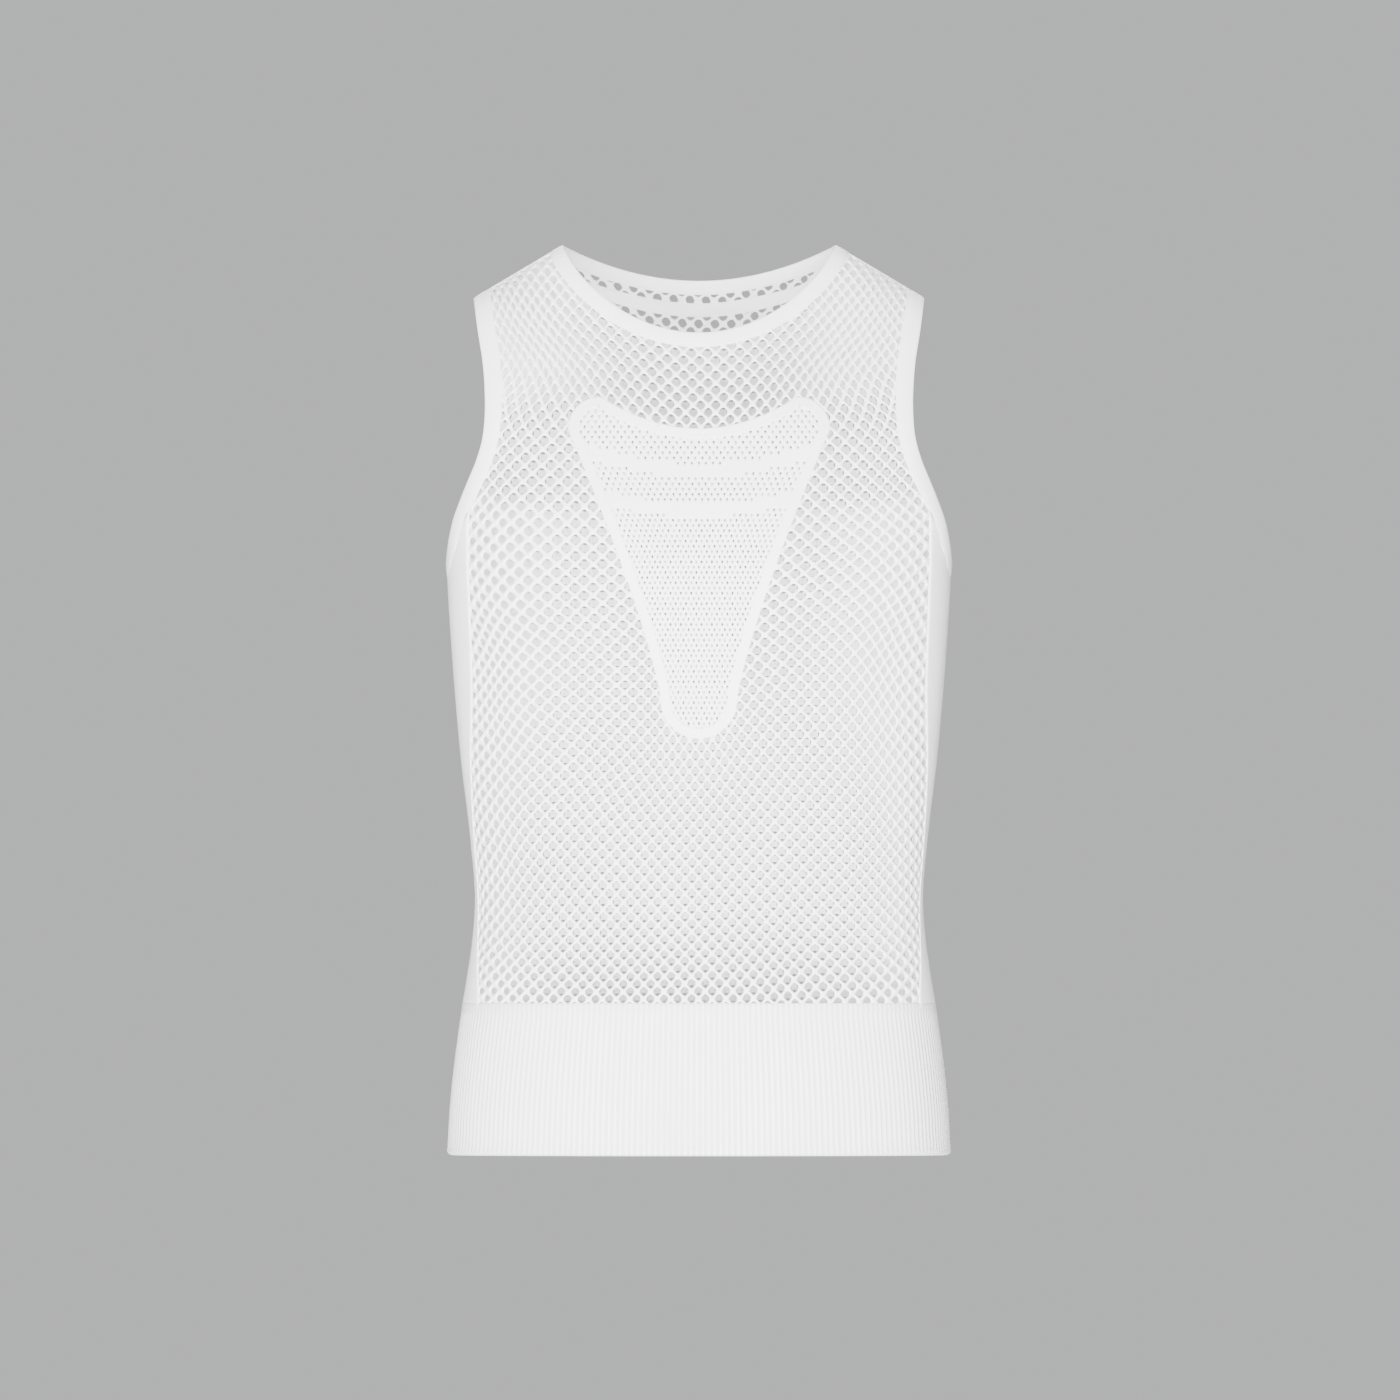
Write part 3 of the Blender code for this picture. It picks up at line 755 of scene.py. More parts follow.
def lattice(half_columns, low_row, high_row, shift=0):
    """Staggered diamonds: x counts columns and y counts rows. Unshifted, column 0 has the odd rows."""
    bm = bmesh.new()
    cells = 2 * round(half_columns + (high_row - low_row) / 4 + 2)
    bmesh.ops.create_grid(bm, x_segments=cells, y_segments=cells, size=cells / 2)
    bmesh.ops.rotate(bm, verts=bm.verts, cent=(0, 0, 0), matrix=Matrix.Rotation(math.pi / 4, 3, "Z"))
    bmesh.ops.scale(bm, verts=bm.verts, vec=(math.sqrt(0.5), math.sqrt(2), 1))
    bmesh.ops.translate(bm, verts=bm.verts, vec=(0, 2 * round((low_row + high_row) / 4) + shift, 0))
    return bm


def middles(bm):
    return np.array([face.calc_center_median()[:2] for face in bm.faces])


def drop_faces(bm, dropped):
    faces = [face for face, gone in zip(list(bm.faces), dropped) if gone]
    bmesh.ops.delete(bm, geom=faces, context="FACES")


def leans_right(edge):
    low, high = sorted((vertex.co for vertex in edge.verts), key=lambda place: place.y)
    return high.x > low.x


diamonds = lattice(2, 0, 4)
print("a small lattice has", len(diamonds.faces), "diamonds")
diamonds.free()

# %% [markdown]
# Each hole is an oval that leans as its column leans. About 2 mm of knit is left on each side of it, and a
# little more on the shoulders, so the holes are narrow where the columns are close. Beside the side strips
# the knit is stretched less, and the holes are smaller.

# %% The size and lean of each hole
STRAND_HALF_WIDTH = 0.0020
SHOULDER_STRAND = 0.0006  # how much is added to it on the shoulders
WIDEST_HOLE = 0.275  # a hole's half width, as a share of its column
NARROWEST_HOLE = 0.0008
TALLEST_HOLE = 0.0042
# in each pair, the first values are sizes in metres, and the second are what they lead to
SIZE_BESIDE_STRIP = (0, 0.045), (0.66, 1)
SHOULDER_BY_HEIGHT = (0.500, 0.545), (0, 1)
SHOULDER_BY_X = (0.030, 0.085), (0, 1)
TALL_BELOW_RIDGE = (0.005, 0.060), (0.50, 0.60)  # a hole's half height, as a share of a row
LEAN_BY_X = (0.00, 0.03, 0.08, 0.12, 0.15), (0.00, 0.03, 0.26, 0.16, 0.10)
LEAN_BY_HEIGHT = (0.490, 0.550), (0, 1)


def hole_sizes(points, column, row, front):
    """The holes' half widths, half heights and outward leans, from how long a column and a row are there."""
    reach_at, strip_top = strip_reach(front)
    away, height = np.abs(points[:, 0]), points[:, 2]
    from_strip = np.abs(points[:, 1]) - reach_at(height)[0] + 2 * np.maximum(height - strip_top, 0)
    beside_strip = np.interp(from_strip, *SIZE_BESIDE_STRIP)
    on_shoulder = np.interp(height, *SHOULDER_BY_HEIGHT) * np.interp(away, *SHOULDER_BY_X)
    strand = STRAND_HALF_WIDTH + SHOULDER_STRAND * on_shoulder
    half_width = np.clip(column / 2 - strand, NARROWEST_HOLE, WIDEST_HOLE * column) * beside_strip
    half_height = row * np.interp(shoulder_line(away) - height, *TALL_BELOW_RIDGE) * beside_strip
    lean = np.interp(away, *LEAN_BY_X) * np.interp(height, *LEAN_BY_HEIGHT) * np.sign(points[:, 0])
    return half_width, np.minimum(half_height, TALLEST_HOLE), lean


breast = hole_sizes(on_cloth(np.array([0.08]), 0.40, True), 0.0125, 0.0052, True)
print(f"a hole at the breast is {2000 * breast[0][0]:.1f} x {2000 * breast[1][0]:.1f} mm")

# %% [markdown]
# Now the lattice is laid on the cloth. The strands' middle lines stand a little proud and the holes' rims lie
# lower, which rounds the strands off, and Solidify gives the knit its thickness. A last row of cells without
# holes reaches the ridge of each shoulder, under the tape. A hole has twelve sides at the front, and ten at
# the back, where there are more of them. The back's holes are staggered against the front's, so that the
# light cloth of the back shows through the front's holes, and not what is behind the garment.

# %% Build the net
STRAND_RISE = 0.00030
RIM_FALL = 0.00030
NET_THICKNESS = 0.0009
FLAT_COLUMN = 0.0115  # a column's width and a row's height on the flat knit, for the UV map
FLAT_ROW = 0.0052
ROWS_PAST_RIDGE = 0.9
ROWS_UNPIERCED = 0.4  # below the ridge
ANY_INSET = 0.1  # the inset's corners are placed round the hole right after


def net(name, front):
    table, last_rows = net_tables[front]

    def at(flat, columns=0, rows=0):
        """The cloth's points at places of the lattice, between the nearest four of the table."""
        j = np.clip((flat[:, 0] + columns + OUTER_COLUMN) * 6, 0, len(table) - 1.001)
        i = np.clip((flat[:, 1] + rows - LOW_ROW) * 3, 0, table.shape[1] - 1.001)
        left, low = j.astype(int), i.astype(int)
        across, up = (j - left)[:, None], (i - low)[:, None]
        lower = table[left, low] * (1 - across) + table[left + 1, low] * across
        upper = table[left, low + 1] * (1 - across) + table[left + 1, low + 1] * across
        return lower * (1 - up) + upper * up

    def straight_out(flat):
        """The direction out of the cloth at places of the lattice."""
        column = at(flat, columns=1 / 6) - at(flat, columns=-1 / 6)
        row = at(flat, rows=1 / 3) - at(flat, rows=-1 / 3)
        out = np.cross(column, row) * (1 if front else -1)
        return out / np.maximum(np.linalg.norm(out, axis=1, keepdims=True), 1e-12)

    bm = lattice(OUTER_COLUMN, LOW_ROW, HIGH_ROW, 1 if front else 0)
    flat = middles(bm)
    last_row_at = curve_through(np.column_stack((np.arange(len(table)) / 6 - OUTER_COLUMN, last_rows)))
    outside = (np.abs(flat[:, 0]) > OUTER_COLUMN - 1) | (flat[:, 1] < LOW_ROW + 1)
    past_ridge = flat[:, 1] > last_row_at(flat[:, 0])[0] + ROWS_PAST_RIDGE
    drop_faces(bm, outside | past_ridge | (past_seams(at(flat), front) > PAST_SEAM))
    flat = middles(bm)
    below_ridge = flat[:, 1] < last_row_at(flat[:, 0])[0] - ROWS_UNPIERCED
    pierced = below_ridge & (past_seams(at(flat), front) < TUCKED)
    rising = [edge for edge in bm.edges if leans_right(edge)]
    falling = [edge for edge in bm.edges if not leans_right(edge)]
    bmesh.ops.bisect_edges(bm, edges=rising, cuts=2)
    bmesh.ops.bisect_edges(bm, edges=falling, cuts=2 if front else 1)
    strands = np.array([vertex.co[:2] for vertex in bm.verts])
    holes = [face for face, is_hole in zip(list(bm.faces), pierced) if is_hole]
    bmesh.ops.inset_individual(bm, faces=holes, thickness=ANY_INSET)

    flat = flat[pierced]
    centre = at(flat)
    column = at(flat, columns=0.5) - at(flat, columns=-0.5)
    row = 1.5 * (at(flat, rows=1 / 3) - at(flat, rows=-1 / 3))
    lengths = np.linalg.norm(column, axis=1), np.linalg.norm(row, axis=1)
    half_width, half_height, lean = hole_sizes(centre, *lengths, front)
    out = straight_out(flat)
    vertices = list(bm.verts)
    places = np.empty((len(vertices), 3))
    lift = np.empty((len(vertices), 3))
    uv = np.empty((len(vertices), 2))
    places[: len(strands)] = at(strands)
    lift[: len(strands)] = STRAND_RISE * straight_out(strands)
    uv[: len(strands)] = strands * (FLAT_COLUMN, FLAT_ROW)
    bm.verts.index_update()
    for k, face in enumerate(holes):
        for vertex in face.verts:
            angle = math.atan2(vertex.co.y - flat[k, 1], (vertex.co.x - flat[k, 0]) * 2)
            a, b = half_width[k] * math.cos(angle), half_height[k] * math.sin(angle)
            leaned = a + b * lean[k]
            places[vertex.index] = centre[k] + leaned * column[k] / lengths[0][k] + b * row[k] / lengths[1][k]
            lift[vertex.index] = -RIM_FALL * out[k]
            uv[vertex.index] = flat[k] * (FLAT_COLUMN, FLAT_ROW) + (a, b)
    places = gather(places, front) + lift
    layer = bm.loops.layers.uv.new("flat")
    for vertex, place in zip(vertices, places):
        vertex.co = place
    for face in bm.faces:
        for loop in face.loops:
            loop[layer].uv = uv[loop.vert.index]
    bmesh.ops.delete(bm, geom=holes, context="FACES")
    if not front:
        bmesh.ops.reverse_faces(bm, faces=bm.faces)
    piece = add_piece(name, bm, net_yarn, closed=False)
    wall = piece.modifiers.new("knit_thickness", "SOLIDIFY")
    wall.thickness = NET_THICKNESS
    wall.offset = -1
    print(name, len(holes), "holes, flat", [round(1000 * size) for size in np.ptp(uv, axis=0)], "mm")
    return piece


net_front = net("net_front", True)
net_back = net("net_back", False)

# %% [markdown]
# ## Bindings
#
# The neck and the armholes are finished with a folded band of close knit. A band could be a swept curve, but
# a curve twists where the edge turns over the shoulder. Here a flat grid is wrapped both ways instead: along
# the opening, and round the band's own section, a flat loop with a soft crown. The two seams of the wrapped
# grid are merged, so the band is closed.

# %% Wrap a grid into a closed band


def even_turns(edge, share):
    """Turns whose points lie the same distance apart along an edge, for shares from 0 to 1."""
    points = edge(around)
    along = np.concatenate(([0], np.cumsum(np.linalg.norm(np.diff(points, axis=0), axis=1))))
    return np.interp(share * along[-1], along, around)


def on_section(section, share):
    """The place on a closed section, for shares from 0 to 1 round its corners."""
    corners = np.array((*section, section[0]))
    where = np.linspace(0, 1, len(corners))
    return np.interp(share, where, corners[:, 0]), np.interp(share, where, corners[:, 1])


def section_length(section):
    corners = np.array((*section, section[0]))
    return np.linalg.norm(np.diff(corners, axis=0), axis=1).sum()


# share of the width from the opening, height over the cloth in metres
BAND_SECTION = (
    (0.00, -0.0004),
    (0.01, 0.0001),
    (0.05, 0.0004),
    (0.15, 0.0006),
    (0.35, 0.0008),
    (0.55, 0.0008),
    (0.75, 0.0007),
    (0.87, 0.0005),
    (0.90, 0.0003),
    (0.93, 0.0005),
    (0.98, 0.0004),
    (1.00, 0.0000),
    (1.00, -0.0007),
    (0.97, -0.0011),
    (0.75, -0.0012),
    (0.50, -0.0013),
    (0.25, -0.0012),
    (0.04, -0.0010),
)


def band(name, edge, width, columns, length):
    section = [(share * width, lift) for share, lift in BAND_SECTION]
    bm = flat_grid(columns, len(section))
    keep_flat_as_uv(bm, length, section_length(section))

    def place(u, v):
        distance, lift = on_section(section, v)
        points = beside(edge, even_turns(edge, u), distance)
        return points + lift[:, None] * outward(points)

    lay(bm, place)
    bmesh.ops.remove_doubles(bm, verts=bm.verts, dist=1e-6)
    return add_piece(name, bm, close_binding)


neck_band = band("neck_binding", neck_edge, NECK_BINDING_WIDTH, 288, neck_length)
arm_band_left = band("arm_binding_left", armhole_edge, ARM_BINDING_WIDTH, 256, armhole_length)
arm_band_right = other_side(arm_band_left, "arm_binding_right")
print("bands:", len(neck_band.data.polygons), "and twice", len(arm_band_left.data.polygons), "faces")

# %% [markdown]
# ## Side strips
#
# A plain knit strip runs from the waist band up to each armhole. It takes up the side seam's place and lies
# smooth under the arm. It is narrow at the waist and wide at both ends. It could be a strip of the net's grid
# without holes, but then it would have no edges of its own. So its section is wrapped like a band's, with a
# slightly raised edge where it is joined to the net, and its two open ends are filled, out of sight inside
# the bands that they run into.

# %% Build the side strips
STRIP_SECTION = (
    (-1.00, -0.0003),
    (-1.00, 0.0003),
    (-0.97, 0.0006),
    (-0.93, 0.0004),
    (-0.85, 0.0004),
    (-0.65, 0.0004),
    (-0.45, 0.0004),
    (-0.25, 0.0004),
    (0.00, 0.0004),
    (0.25, 0.0004),
    (0.45, 0.0004),
    (0.65, 0.0004),
    (0.85, 0.0004),
    (0.93, 0.0004),
    (0.97, 0.0006),
    (1.00, 0.0003),
    (1.00, -0.0003),
    (0.98, -0.0011),
    (0.70, -0.0011),
    (0.35, -0.0011),
    (0.00, -0.0011),
    (-0.35, -0.0011),
    (-0.70, -0.0011),
    (-0.98, -0.0011),
)
STRIP_TUCK = 0.003  # how far its ends run in under the bands
STRIP_LAP = 0.0008  # how far its edges lie over the net
STRIP_LOW = WAIST_BAND_HEIGHT - STRIP_TUCK
STRIP_STEPS = 48
STRIP_WIDTH = 0.100
STRIP_LENGTH = 0.330


def fill_ends(bm):
    bmesh.ops.holes_fill(bm, edges=[edge for edge in bm.edges if edge.is_boundary], sides=0)


def side_strip(name):
    bm = flat_grid(STRIP_STEPS, len(STRIP_SECTION))
    keep_flat_as_uv(bm, STRIP_LENGTH, 2 * STRIP_WIDTH)
    reaches = {front: strip_reach(front)[0] for front in (True, False)}

    def place(u, v):
        share, lift = on_section(STRIP_SECTION, v)
        front = share < 0
        top = beside(armhole_edge, share * STRIP_TOP_TURN, np.full(len(u), ARM_BINDING_WIDTH - STRIP_TUCK))
        height = STRIP_LOW + u * (top[:, 2] - STRIP_LOW)
        reach = np.where(front, reaches[True](height)[0], reaches[False](height)[0])
        points = on_side(share * (reach + STRIP_LAP), height)
        return points + lift[:, None] * outward(points)

    lay(bm, place)
    bmesh.ops.remove_doubles(bm, verts=bm.verts, dist=1e-6)
    fill_ends(bm)
    return add_piece(name, bm, plain_knit)


side_strip_left = side_strip("side_strip_left")
side_strip_right = other_side(side_strip_left, "side_strip_right")
print("side strip:", len(side_strip_left.data.polygons), "faces")

# %% [markdown]
# ## The ribbed waist band
#
# The band is a deep tube of rib knit: 220 upright ribs, 4 mm apart, that spring back and hold the hem in. Its
# lower edge is turned and slightly rolled, and a plain edge joins it to the net. Ribs could be left to a
# bump, but here they are real relief, because they show in the outline at the sides. Again it is one grid,
# wrapped round the waist and round the band's section.

# %% Build the waist band
RIB_DEPTH = 0.0010
RIB_SHARPNESS = 0.7  # under 1, a rib is round and its groove narrow
POINTS_PER_RIB = 4
# height, height over the cloth, how much of the ribs shows
WAIST_SECTION = (
    (0.0008, -0.0044, 0.0),
    (0.0000, -0.0038, 0.0),
    (0.0001, -0.0026, 0.0),
    (0.0008, -0.0010, 0.1),
    (0.0020, 0.0001, 0.2),
    (0.0036, 0.0005, 0.5),
    (0.0050, 0.0003, 1.0),
    (0.0120, 0.0002, 1.0),
    (0.0300, 0.0002, 1.0),
    (0.0500, 0.0002, 1.0),
    (0.0700, 0.0002, 1.0),
    (0.0880, 0.0002, 1.0),
    (0.0975, 0.0002, 1.0),
    (0.0990, 0.0003, 0.4),
    (0.1000, 0.0004, 0.0),
    (0.1040, 0.0005, 0.0),
    (0.1052, 0.0004, 0.0),
    (0.1056, 0.0000, 0.0),
    (0.1056, -0.0008, 0.0),
    (0.1045, -0.0014, 0.0),
    (0.0700, -0.0015, 0.0),
    (0.0350, -0.0015, 0.0),
    (0.0080, -0.0017, 0.0),
)


def level_cut(turn, height):
    """The torso's oval: 0 is the wearer's left side, a quarter turn is the middle of the back."""
    half_width, front_depth, back_depth, square = torso_at(height)
    c, s = np.cos(turn), np.sin(turn)
    depth = np.where(s < 0, front_depth, back_depth)
    x = np.sign(c) * half_width * np.abs(c) ** (2 / square)
    y = np.sign(s) * depth * np.abs(s) ** (2 / square)
    return np.stack((x, y, np.broadcast_to(height, x.shape)), axis=-1)


def waist_cut(turn):
    return level_cut(turn, np.full(np.shape(turn), WAIST_BAND_HEIGHT / 2))


waist_length = np.linalg.norm(np.diff(waist_cut(around), axis=0), axis=1).sum()
rib_count = 2 * round(waist_length / RIB_PITCH / 2)


def waist_band(name):
    rows = len(WAIST_SECTION)
    bm = flat_grid(rib_count * POINTS_PER_RIB, rows)
    keep_flat_as_uv(bm, rib_count * RIB_PITCH, 2 * WAIST_BAND_HEIGHT)
    corners = np.array((*WAIST_SECTION, WAIST_SECTION[0]))

    def place(u, v):
        corner = np.rint(v * rows).astype(int)
        height, lift, ribbed = corners[corner].T
        phase = u * rib_count
        crest = np.abs(np.cos(math.pi * phase)) ** RIB_SHARPNESS
        points = level_cut(even_turns(waist_cut, u), height)
        out = outward(points) * (1, 1, 0)
        lift = lift - RIB_DEPTH * ribbed * (1 - crest)
        return points + lift[:, None] * unit(out)

    lay(bm, place)
    bmesh.ops.remove_doubles(bm, verts=bm.verts, dist=1e-6)
    return add_piece(name, bm, rib_knit)


waist = waist_band("rib_waist_band")
print(f"waist band {1000 * waist_length:.0f} mm round, {rib_count} ribs, {len(waist.data.polygons)} faces")

# %% [markdown]
# ## The breastbone panel
#
# Over the breastbone lies a closer knit with pinholes, which keeps the wind off the chest. It is a plain bib
# shape with two plain arcs that follow the neckline. The pinholes could be painted, but light shines through
# real ones. So it is made like the net, only finer, with an eight-sided pinhole in each diamond. Lower down,
# where the bib is narrow, its columns are drawn together. A flat border covers its edge.

# %% Build the panel and its border
PIN_COLUMN = 0.0051  # at the panel's top; lower down the columns are drawn together
PIN_ROW = 0.0036
PIN_COLUMNS = 18  # each side of the middle
PIN_INSET = 0.0005
PIN_HALF_WIDTH, PIN_HALF_HEIGHT = 0.00080, 0.00110
DRAWN_BY_HEIGHT = (0.420, 0.490), (0.70, 1.00)  # heights, and how much of a column's width is left there
PANEL_RISE = 0.0002
PANEL_TUCKED = 0.0015  # how far inside the outline the pierced cloth stops, under the border
PANEL_THICKNESS = 0.0009
ARC_HEIGHTS = (0.474, 0.446)  # in the middle
ARC_HALF_WIDTH = 0.0042
ARC_RISE, ARC_REACH = 0.014, 0.08  # how much higher an arc is that far from the middle
BORDER_STEPS = 400
BORDER_LENGTH = 0.6  # round the panel, for the UV map

BORDER_SECTION = (
    (-0.0006, -0.0004),
    (-0.0005, 0.0003),
    (0.0000, 0.0006),
    (0.0008, 0.0005),
    (0.0030, 0.0005),
    (0.0052, 0.0005),
    (0.0060, 0.0005),
    (0.0065, 0.0003),
    (0.0065, -0.0004),
    (0.0062, -0.0012),
    (0.0030, -0.0012),
    (-0.0002, -0.0012),
)


def on_arc(x, height):
    rise = ARC_RISE * (x / ARC_REACH) ** 2
    return np.any([np.abs(height - rise - arc) < ARC_HALF_WIDTH for arc in ARC_HEIGHTS], axis=0)


def pinhole_panel(name):
    bm = lattice(PIN_COLUMNS, round(BIB_END_HEIGHT / PIN_ROW) - 2, round(BIB_TOP_HEIGHT / PIN_ROW) + 2)
    bmesh.ops.scale(bm, verts=bm.verts, vec=(PIN_COLUMN, PIN_ROW, 1))
    for vertex in bm.verts:
        vertex.co.x *= np.interp(vertex.co.y, *DRAWN_BY_HEIGHT)
    flat = middles(bm)
    drop_faces(bm, inside_bib(*flat.T)[0] < PANEL_TUCKED)
    flat = middles(bm)
    pierced = ~on_arc(*flat.T)
    bmesh.ops.bisect_edges(bm, edges=bm.edges, cuts=1)
    holes = [face for face, open_here in zip(list(bm.faces), pierced) if open_here]
    bmesh.ops.inset_individual(bm, faces=holes, thickness=PIN_INSET)
    for face, middle in zip(holes, flat[pierced]):
        column = PIN_COLUMN * np.interp(middle[1], *DRAWN_BY_HEIGHT)
        for vertex in face.verts:
            angle = math.atan2((vertex.co.y - middle[1]) / PIN_ROW, (vertex.co.x - middle[0]) / column * 2)
            vertex.co.x = middle[0] + PIN_HALF_WIDTH * math.cos(angle)
            vertex.co.y = middle[1] + PIN_HALF_HEIGHT * math.sin(angle)
    keep_flat_as_uv(bm, 1, 1)

    def place(x, height):
        depth, k = inside_bib(x, height)
        x, height = np.stack((x, height)) + np.maximum(PANEL_TUCKED - depth, 0) * bib_inward[k].T
        points = on_cloth(x, height, True)
        return points + PANEL_RISE * outward(points)

    lay(bm, place)
    bmesh.ops.delete(bm, geom=holes, context="FACES")
    piece = add_piece(name, bm, plain_knit, closed=False)
    wall = piece.modifiers.new("knit_thickness", "SOLIDIFY")
    wall.thickness = PANEL_THICKNESS
    wall.offset = -1
    print(name, len(holes), "pinholes")
    return piece


def panel_border(name):
    edge = bib_outline(BORDER_STEPS)
    inward = turned_inward(edge)
    bm = flat_grid(BORDER_STEPS, len(BORDER_SECTION))
    keep_flat_as_uv(bm, BORDER_LENGTH, section_length(BORDER_SECTION))

    def place(u, v):
        k = np.rint(u * BORDER_STEPS).astype(int) % BORDER_STEPS
        distance, lift = on_section(BORDER_SECTION, v)
        x, height = (edge[k] + distance[:, None] * inward[k]).T
        points = on_cloth(x, height, True)
        return points + lift[:, None] * outward(points)

    lay(bm, place)
    bmesh.ops.remove_doubles(bm, verts=bm.verts, dist=1e-6)
    return add_piece(name, bm, plain_knit)


breast_panel = pinhole_panel("breast_panel")
breast_border = panel_border("breast_panel_border")

# %% [markdown]
# ## Shoulder tapes and the yoke bar
#
# Where the front and the back meet on top of the shoulder, a narrow tape covers the join. On the back, a
# plain bar runs from shoulder to shoulder under a single row of holes, and it shows through the neck. Both
# could be part of the net, as cells without holes, but a band on top has the real one's straight edges.

# %% Build the tapes and the bar
TAPE_SECTION = (
    (-0.0055, -0.0006),
    (-0.0054, 0.0003),
    (-0.0046, 0.0006),
    (-0.0022, 0.0005),
    (0.0000, 0.0006),
    (0.0022, 0.0005),
    (0.0046, 0.0006),
    (0.0054, 0.0003),
    (0.0055, -0.0006),
    (0.0045, -0.0013),
    (0.0000, -0.0013),
    (-0.0045, -0.0013),
)
TAPE_FROM_X = 0.099
TAPE_TO_X = 0.149
TAPE_LENGTH = 0.058  # along the slope
TAPE_WIDTH = 0.011
TAPE_STEPS = 24


def shoulder_tape(name):
    bm = flat_grid(TAPE_STEPS, len(TAPE_SECTION))
    keep_flat_as_uv(bm, TAPE_LENGTH, section_length(TAPE_SECTION))

    def place(u, v):
        y, lift = on_section(TAPE_SECTION, v)
        x = TAPE_FROM_X + u * (TAPE_TO_X - TAPE_FROM_X)
        front = y < 0
        height = shoulder_line(x)
        front_reach, back_reach = rounding_at(x)
        reach = np.where(front, front_reach, back_reach)
        depth = oval_depth(x, height, front)
        height = height - reach * (1 - np.sqrt(1 - (y / depth) ** 2))
        points = np.stack((x, np.where(np.abs(y) < 1e-5, -1e-5, y), height), axis=-1)
        return points + lift[:, None] * outward(points)

    lay(bm, place)
    bmesh.ops.remove_doubles(bm, verts=bm.verts, dist=1e-6)
    fill_ends(bm)
    return add_piece(name, bm, plain_knit)


BAR_FROM = 0.0180
BAR_WIDTH = 0.0105
BAR_TURN = 1.50  # how far round the neck from the middle of the back, to end under the shoulder tapes
BAR_RISE = 0.0005  # its section is a band's, but no higher than this
BAR_STEPS = 120
bar_middle = beside(neck_edge, math.pi + np.linspace(-BAR_TURN, BAR_TURN, 200), BAR_FROM + BAR_WIDTH / 2)
bar_length = np.linalg.norm(np.diff(bar_middle, axis=0), axis=1).sum()


def yoke_bar(name):
    section = [(BAR_FROM + share * BAR_WIDTH, min(lift, BAR_RISE)) for share, lift in BAND_SECTION]
    bm = flat_grid(BAR_STEPS, len(section))
    keep_flat_as_uv(bm, bar_length, section_length(section))

    def place(u, v):
        distance, lift = on_section(section, v)
        turn = math.pi + BAR_TURN * (2 * u - 1)
        points = beside(neck_edge, turn, distance)
        return points + lift[:, None] * outward(points)

    lay(bm, place)
    bmesh.ops.remove_doubles(bm, verts=bm.verts, dist=1e-6)
    fill_ends(bm)
    return add_piece(name, bm, plain_knit)


tape_left = shoulder_tape("shoulder_tape_left")
tape_right = other_side(tape_left, "shoulder_tape_right")
bar = yoke_bar("back_yoke_bar")
print(f"tapes made, and a bar {1000 * bar_length:.0f} mm long")

# %% [markdown]
# ## What each piece stands for
#
# The pieces of cloth take the place of the CAD model's nodes. Each rides on the part's one body. Each also
# states the size of its flat cut, as a maker would cut it before sewing. The net's own area is stated without
# its holes.

# %% Tie the pieces to the part
replaced = (
    (net_front, "net_knit", ("front",)),
    (net_back, "net_knit", ("back",)),
    (breast_panel, "plain_knit", ("chest_panel",)),
    (breast_border, "plain_knit", ("chest_panel",)),
    (side_strip_left, "plain_knit", ("side_panel_left",)),
    (side_strip_right, "plain_knit", ("side_panel_right",)),
    (neck_band, "binding", ("neckband",)),
    (arm_band_left, "binding", ("armband_left",)),
    (arm_band_right, "binding", ("armband_right",)),
    (waist, "rib_knit", ("hem_band",)),
    (tape_left, "binding", ()),
    (tape_right, "binding", ()),
    (bar, "plain_knit", ()),
)
for piece, finish, nodes in replaced:
    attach(piece, "root")
    if nodes:
        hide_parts(*nodes)


# width and length of the flat cut, and its own area where it is no full rectangle, without the holes
flat_cuts = (
    (net_front, (0.420, 0.540), 0.1100),
    (net_back, (0.420, 0.560), 0.1300),
    (breast_panel, (0.180, 0.235), 0.0215),
    (side_strip_left, (0.100, 0.330), 0.0255),
    (side_strip_right, (0.100, 0.330), 0.0255),
    (neck_band, (neck_length, NECK_BINDING_WIDTH), None),
    (arm_band_left, (armhole_length, ARM_BINDING_WIDTH), None),
    (arm_band_right, (armhole_length, ARM_BINDING_WIDTH), None),
    (waist, (waist_length, WAIST_BAND_HEIGHT), None),
    (tape_left, (TAPE_LENGTH, TAPE_WIDTH), None),
    (tape_right, (TAPE_LENGTH, TAPE_WIDTH), None),
    (bar, (bar_length, BAR_WIDTH), None),
)
bpy.context.view_layer.update()
for piece, (width, length), area in flat_cuts:
    finished = piece.evaluated_get(bpy.context.evaluated_depsgraph_get()).to_mesh()
    one_side = sum(face.area for face in finished.polygons) / 2
    print(f"{piece.name}: cut {1e4 * (area or width * length):.0f} cm2, shown {1e4 * one_side:.0f} cm2")

# %% [markdown]
# ## Floor, light and camera
#
# The photograph was taken straight from the front with a long lens, so the hem shows as a straight line. A
# floor lies below the garment, out of the picture. White knit on a pale ground needs light that models it
# without washing it out. So the main light is large and low in front, as in the photograph, where the hem is
# the brightest part. One light above draws the shoulders, one behind lights the back, and two faint ones fill
# the sides. The camera sees a paler backdrop than the one that lights the garment.

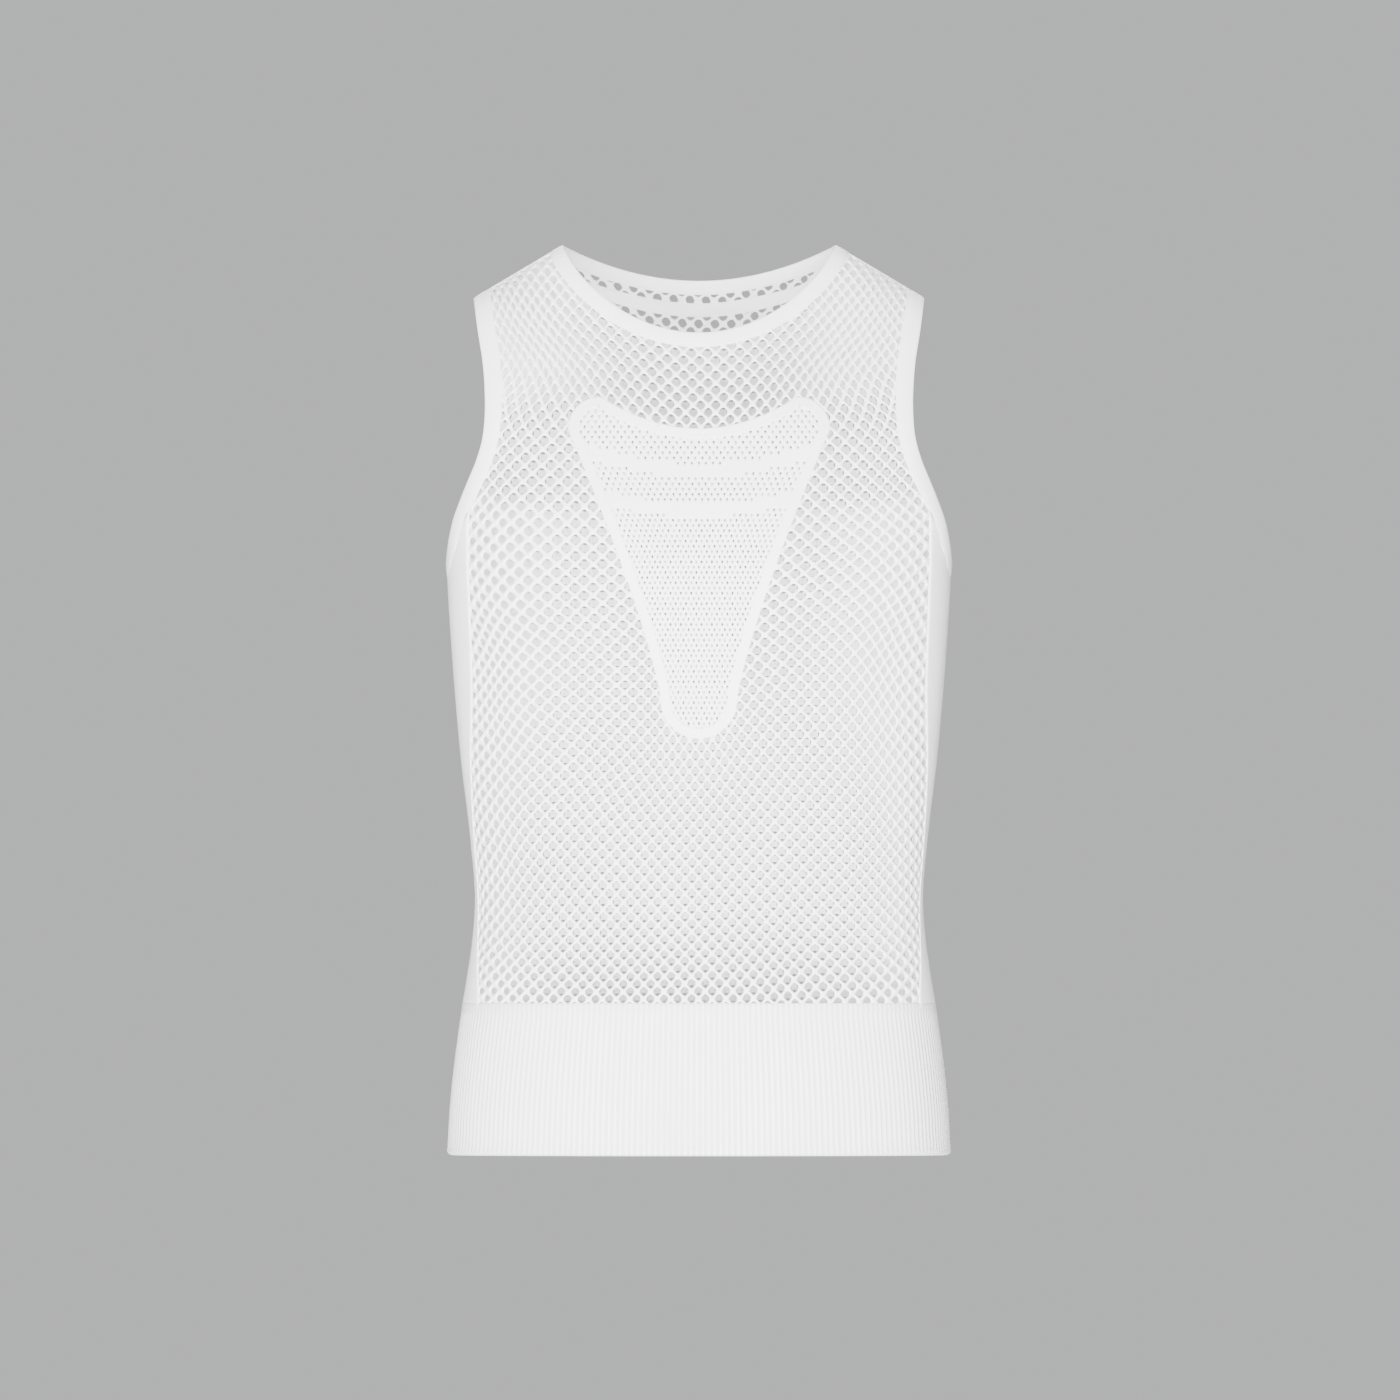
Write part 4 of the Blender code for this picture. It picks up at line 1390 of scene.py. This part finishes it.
# %% Floor
FLOOR_RADIUS = 3.0
FLOOR_HEIGHT = -2.10
PAPER = (0.55, 0.55, 0.56, 1)
bm = bmesh.new()
bmesh.ops.create_circle(bm, cap_ends=True, radius=FLOOR_RADIUS, segments=96)
bmesh.ops.translate(bm, verts=bm.verts, vec=(0, 0, FLOOR_HEIGHT))
floor_mesh = bpy.data.meshes.new("floor")
bm.to_mesh(floor_mesh)
bm.free()
floor = bpy.data.objects.new("floor", floor_mesh)
bpy.context.scene.collection.objects.link(floor)
paper = bpy.data.materials.new("pale_paper")
paper.use_nodes = True
paper.node_tree.nodes["Principled BSDF"].inputs["Base Color"].default_value = PAPER
paper.node_tree.nodes["Principled BSDF"].inputs["Roughness"].default_value = 0.9
floor.data.materials.append(paper)

# %% Light
MIDDLE = (0, 0, -0.295)  # of the garment, where the lights look
world = bpy.data.worlds.new("studio")
bpy.context.scene.world = world
world.use_nodes = True
rays = world.node_tree.nodes.new("ShaderNodeLightPath")
seen = world.node_tree.nodes.new("ShaderNodeMix")
seen.data_type = "RGBA"
seen.inputs["A"].default_value = (0.42, 0.425, 0.44, 1)  # what lights the garment
seen.inputs["B"].default_value = (0.60, 0.605, 0.615, 1)  # what the camera sees
world.node_tree.links.new(rays.outputs["Is Camera Ray"], seen.inputs["Factor"])
world.node_tree.links.new(seen.outputs["Result"], world.node_tree.nodes["Background"].inputs["Color"])


def soft_light(name, place, size, power):
    """A rectangular light that looks at the garment's middle."""
    data = bpy.data.lights.new(name, "AREA")
    data.shape = "RECTANGLE"
    data.size, data.size_y = size
    data.energy = power
    light = bpy.data.objects.new(name, data)
    light.location = place
    light.rotation_mode = "QUATERNION"
    light.rotation_quaternion = (Vector(MIDDLE) - Vector(place)).to_track_quat("-Z", "Y")
    bpy.context.scene.collection.objects.link(light)


soft_light("front_light", (-0.20, -3.0, -0.9), (1.6, 1.2), 640)
soft_light("left_light", (2.4, -1.2, 0.3), (1.8, 2.2), 6)
soft_light("right_light", (-2.4, -1.2, 0.3), (1.8, 2.2), 4)
soft_light("top_light", (0, 0.2, 2.6), (1.6, 1.6), 130)
soft_light("back_light", (0, 2.8, 1.5), (1.6, 1.0), 300)

# %% Camera
PICTURE_WIDTH = 0.9692  # what the square picture takes in at the garment's middle plane
PICTURE_MIDDLE = 0.0007, 0.315  # distance from the garment's middle, and height over the hem
CAMERA_DISTANCE = 40.0
SENSOR = 36
camera_data = bpy.data.cameras.new("camera")
camera_data.sensor_width = SENSOR
camera_data.lens = SENSOR * CAMERA_DISTANCE / PICTURE_WIDTH
camera_data.clip_end = 100
camera = bpy.data.objects.new("camera", camera_data)
camera.location = (PICTURE_MIDDLE[0], -CAMERA_DISTANCE, PICTURE_MIDDLE[1] - ORIGIN_HEIGHT)
camera.rotation_euler = (math.pi / 2, 0, 0)
bpy.context.scene.collection.objects.link(camera)
bpy.context.scene.camera = camera
print("camera lens", round(camera_data.lens), "mm")
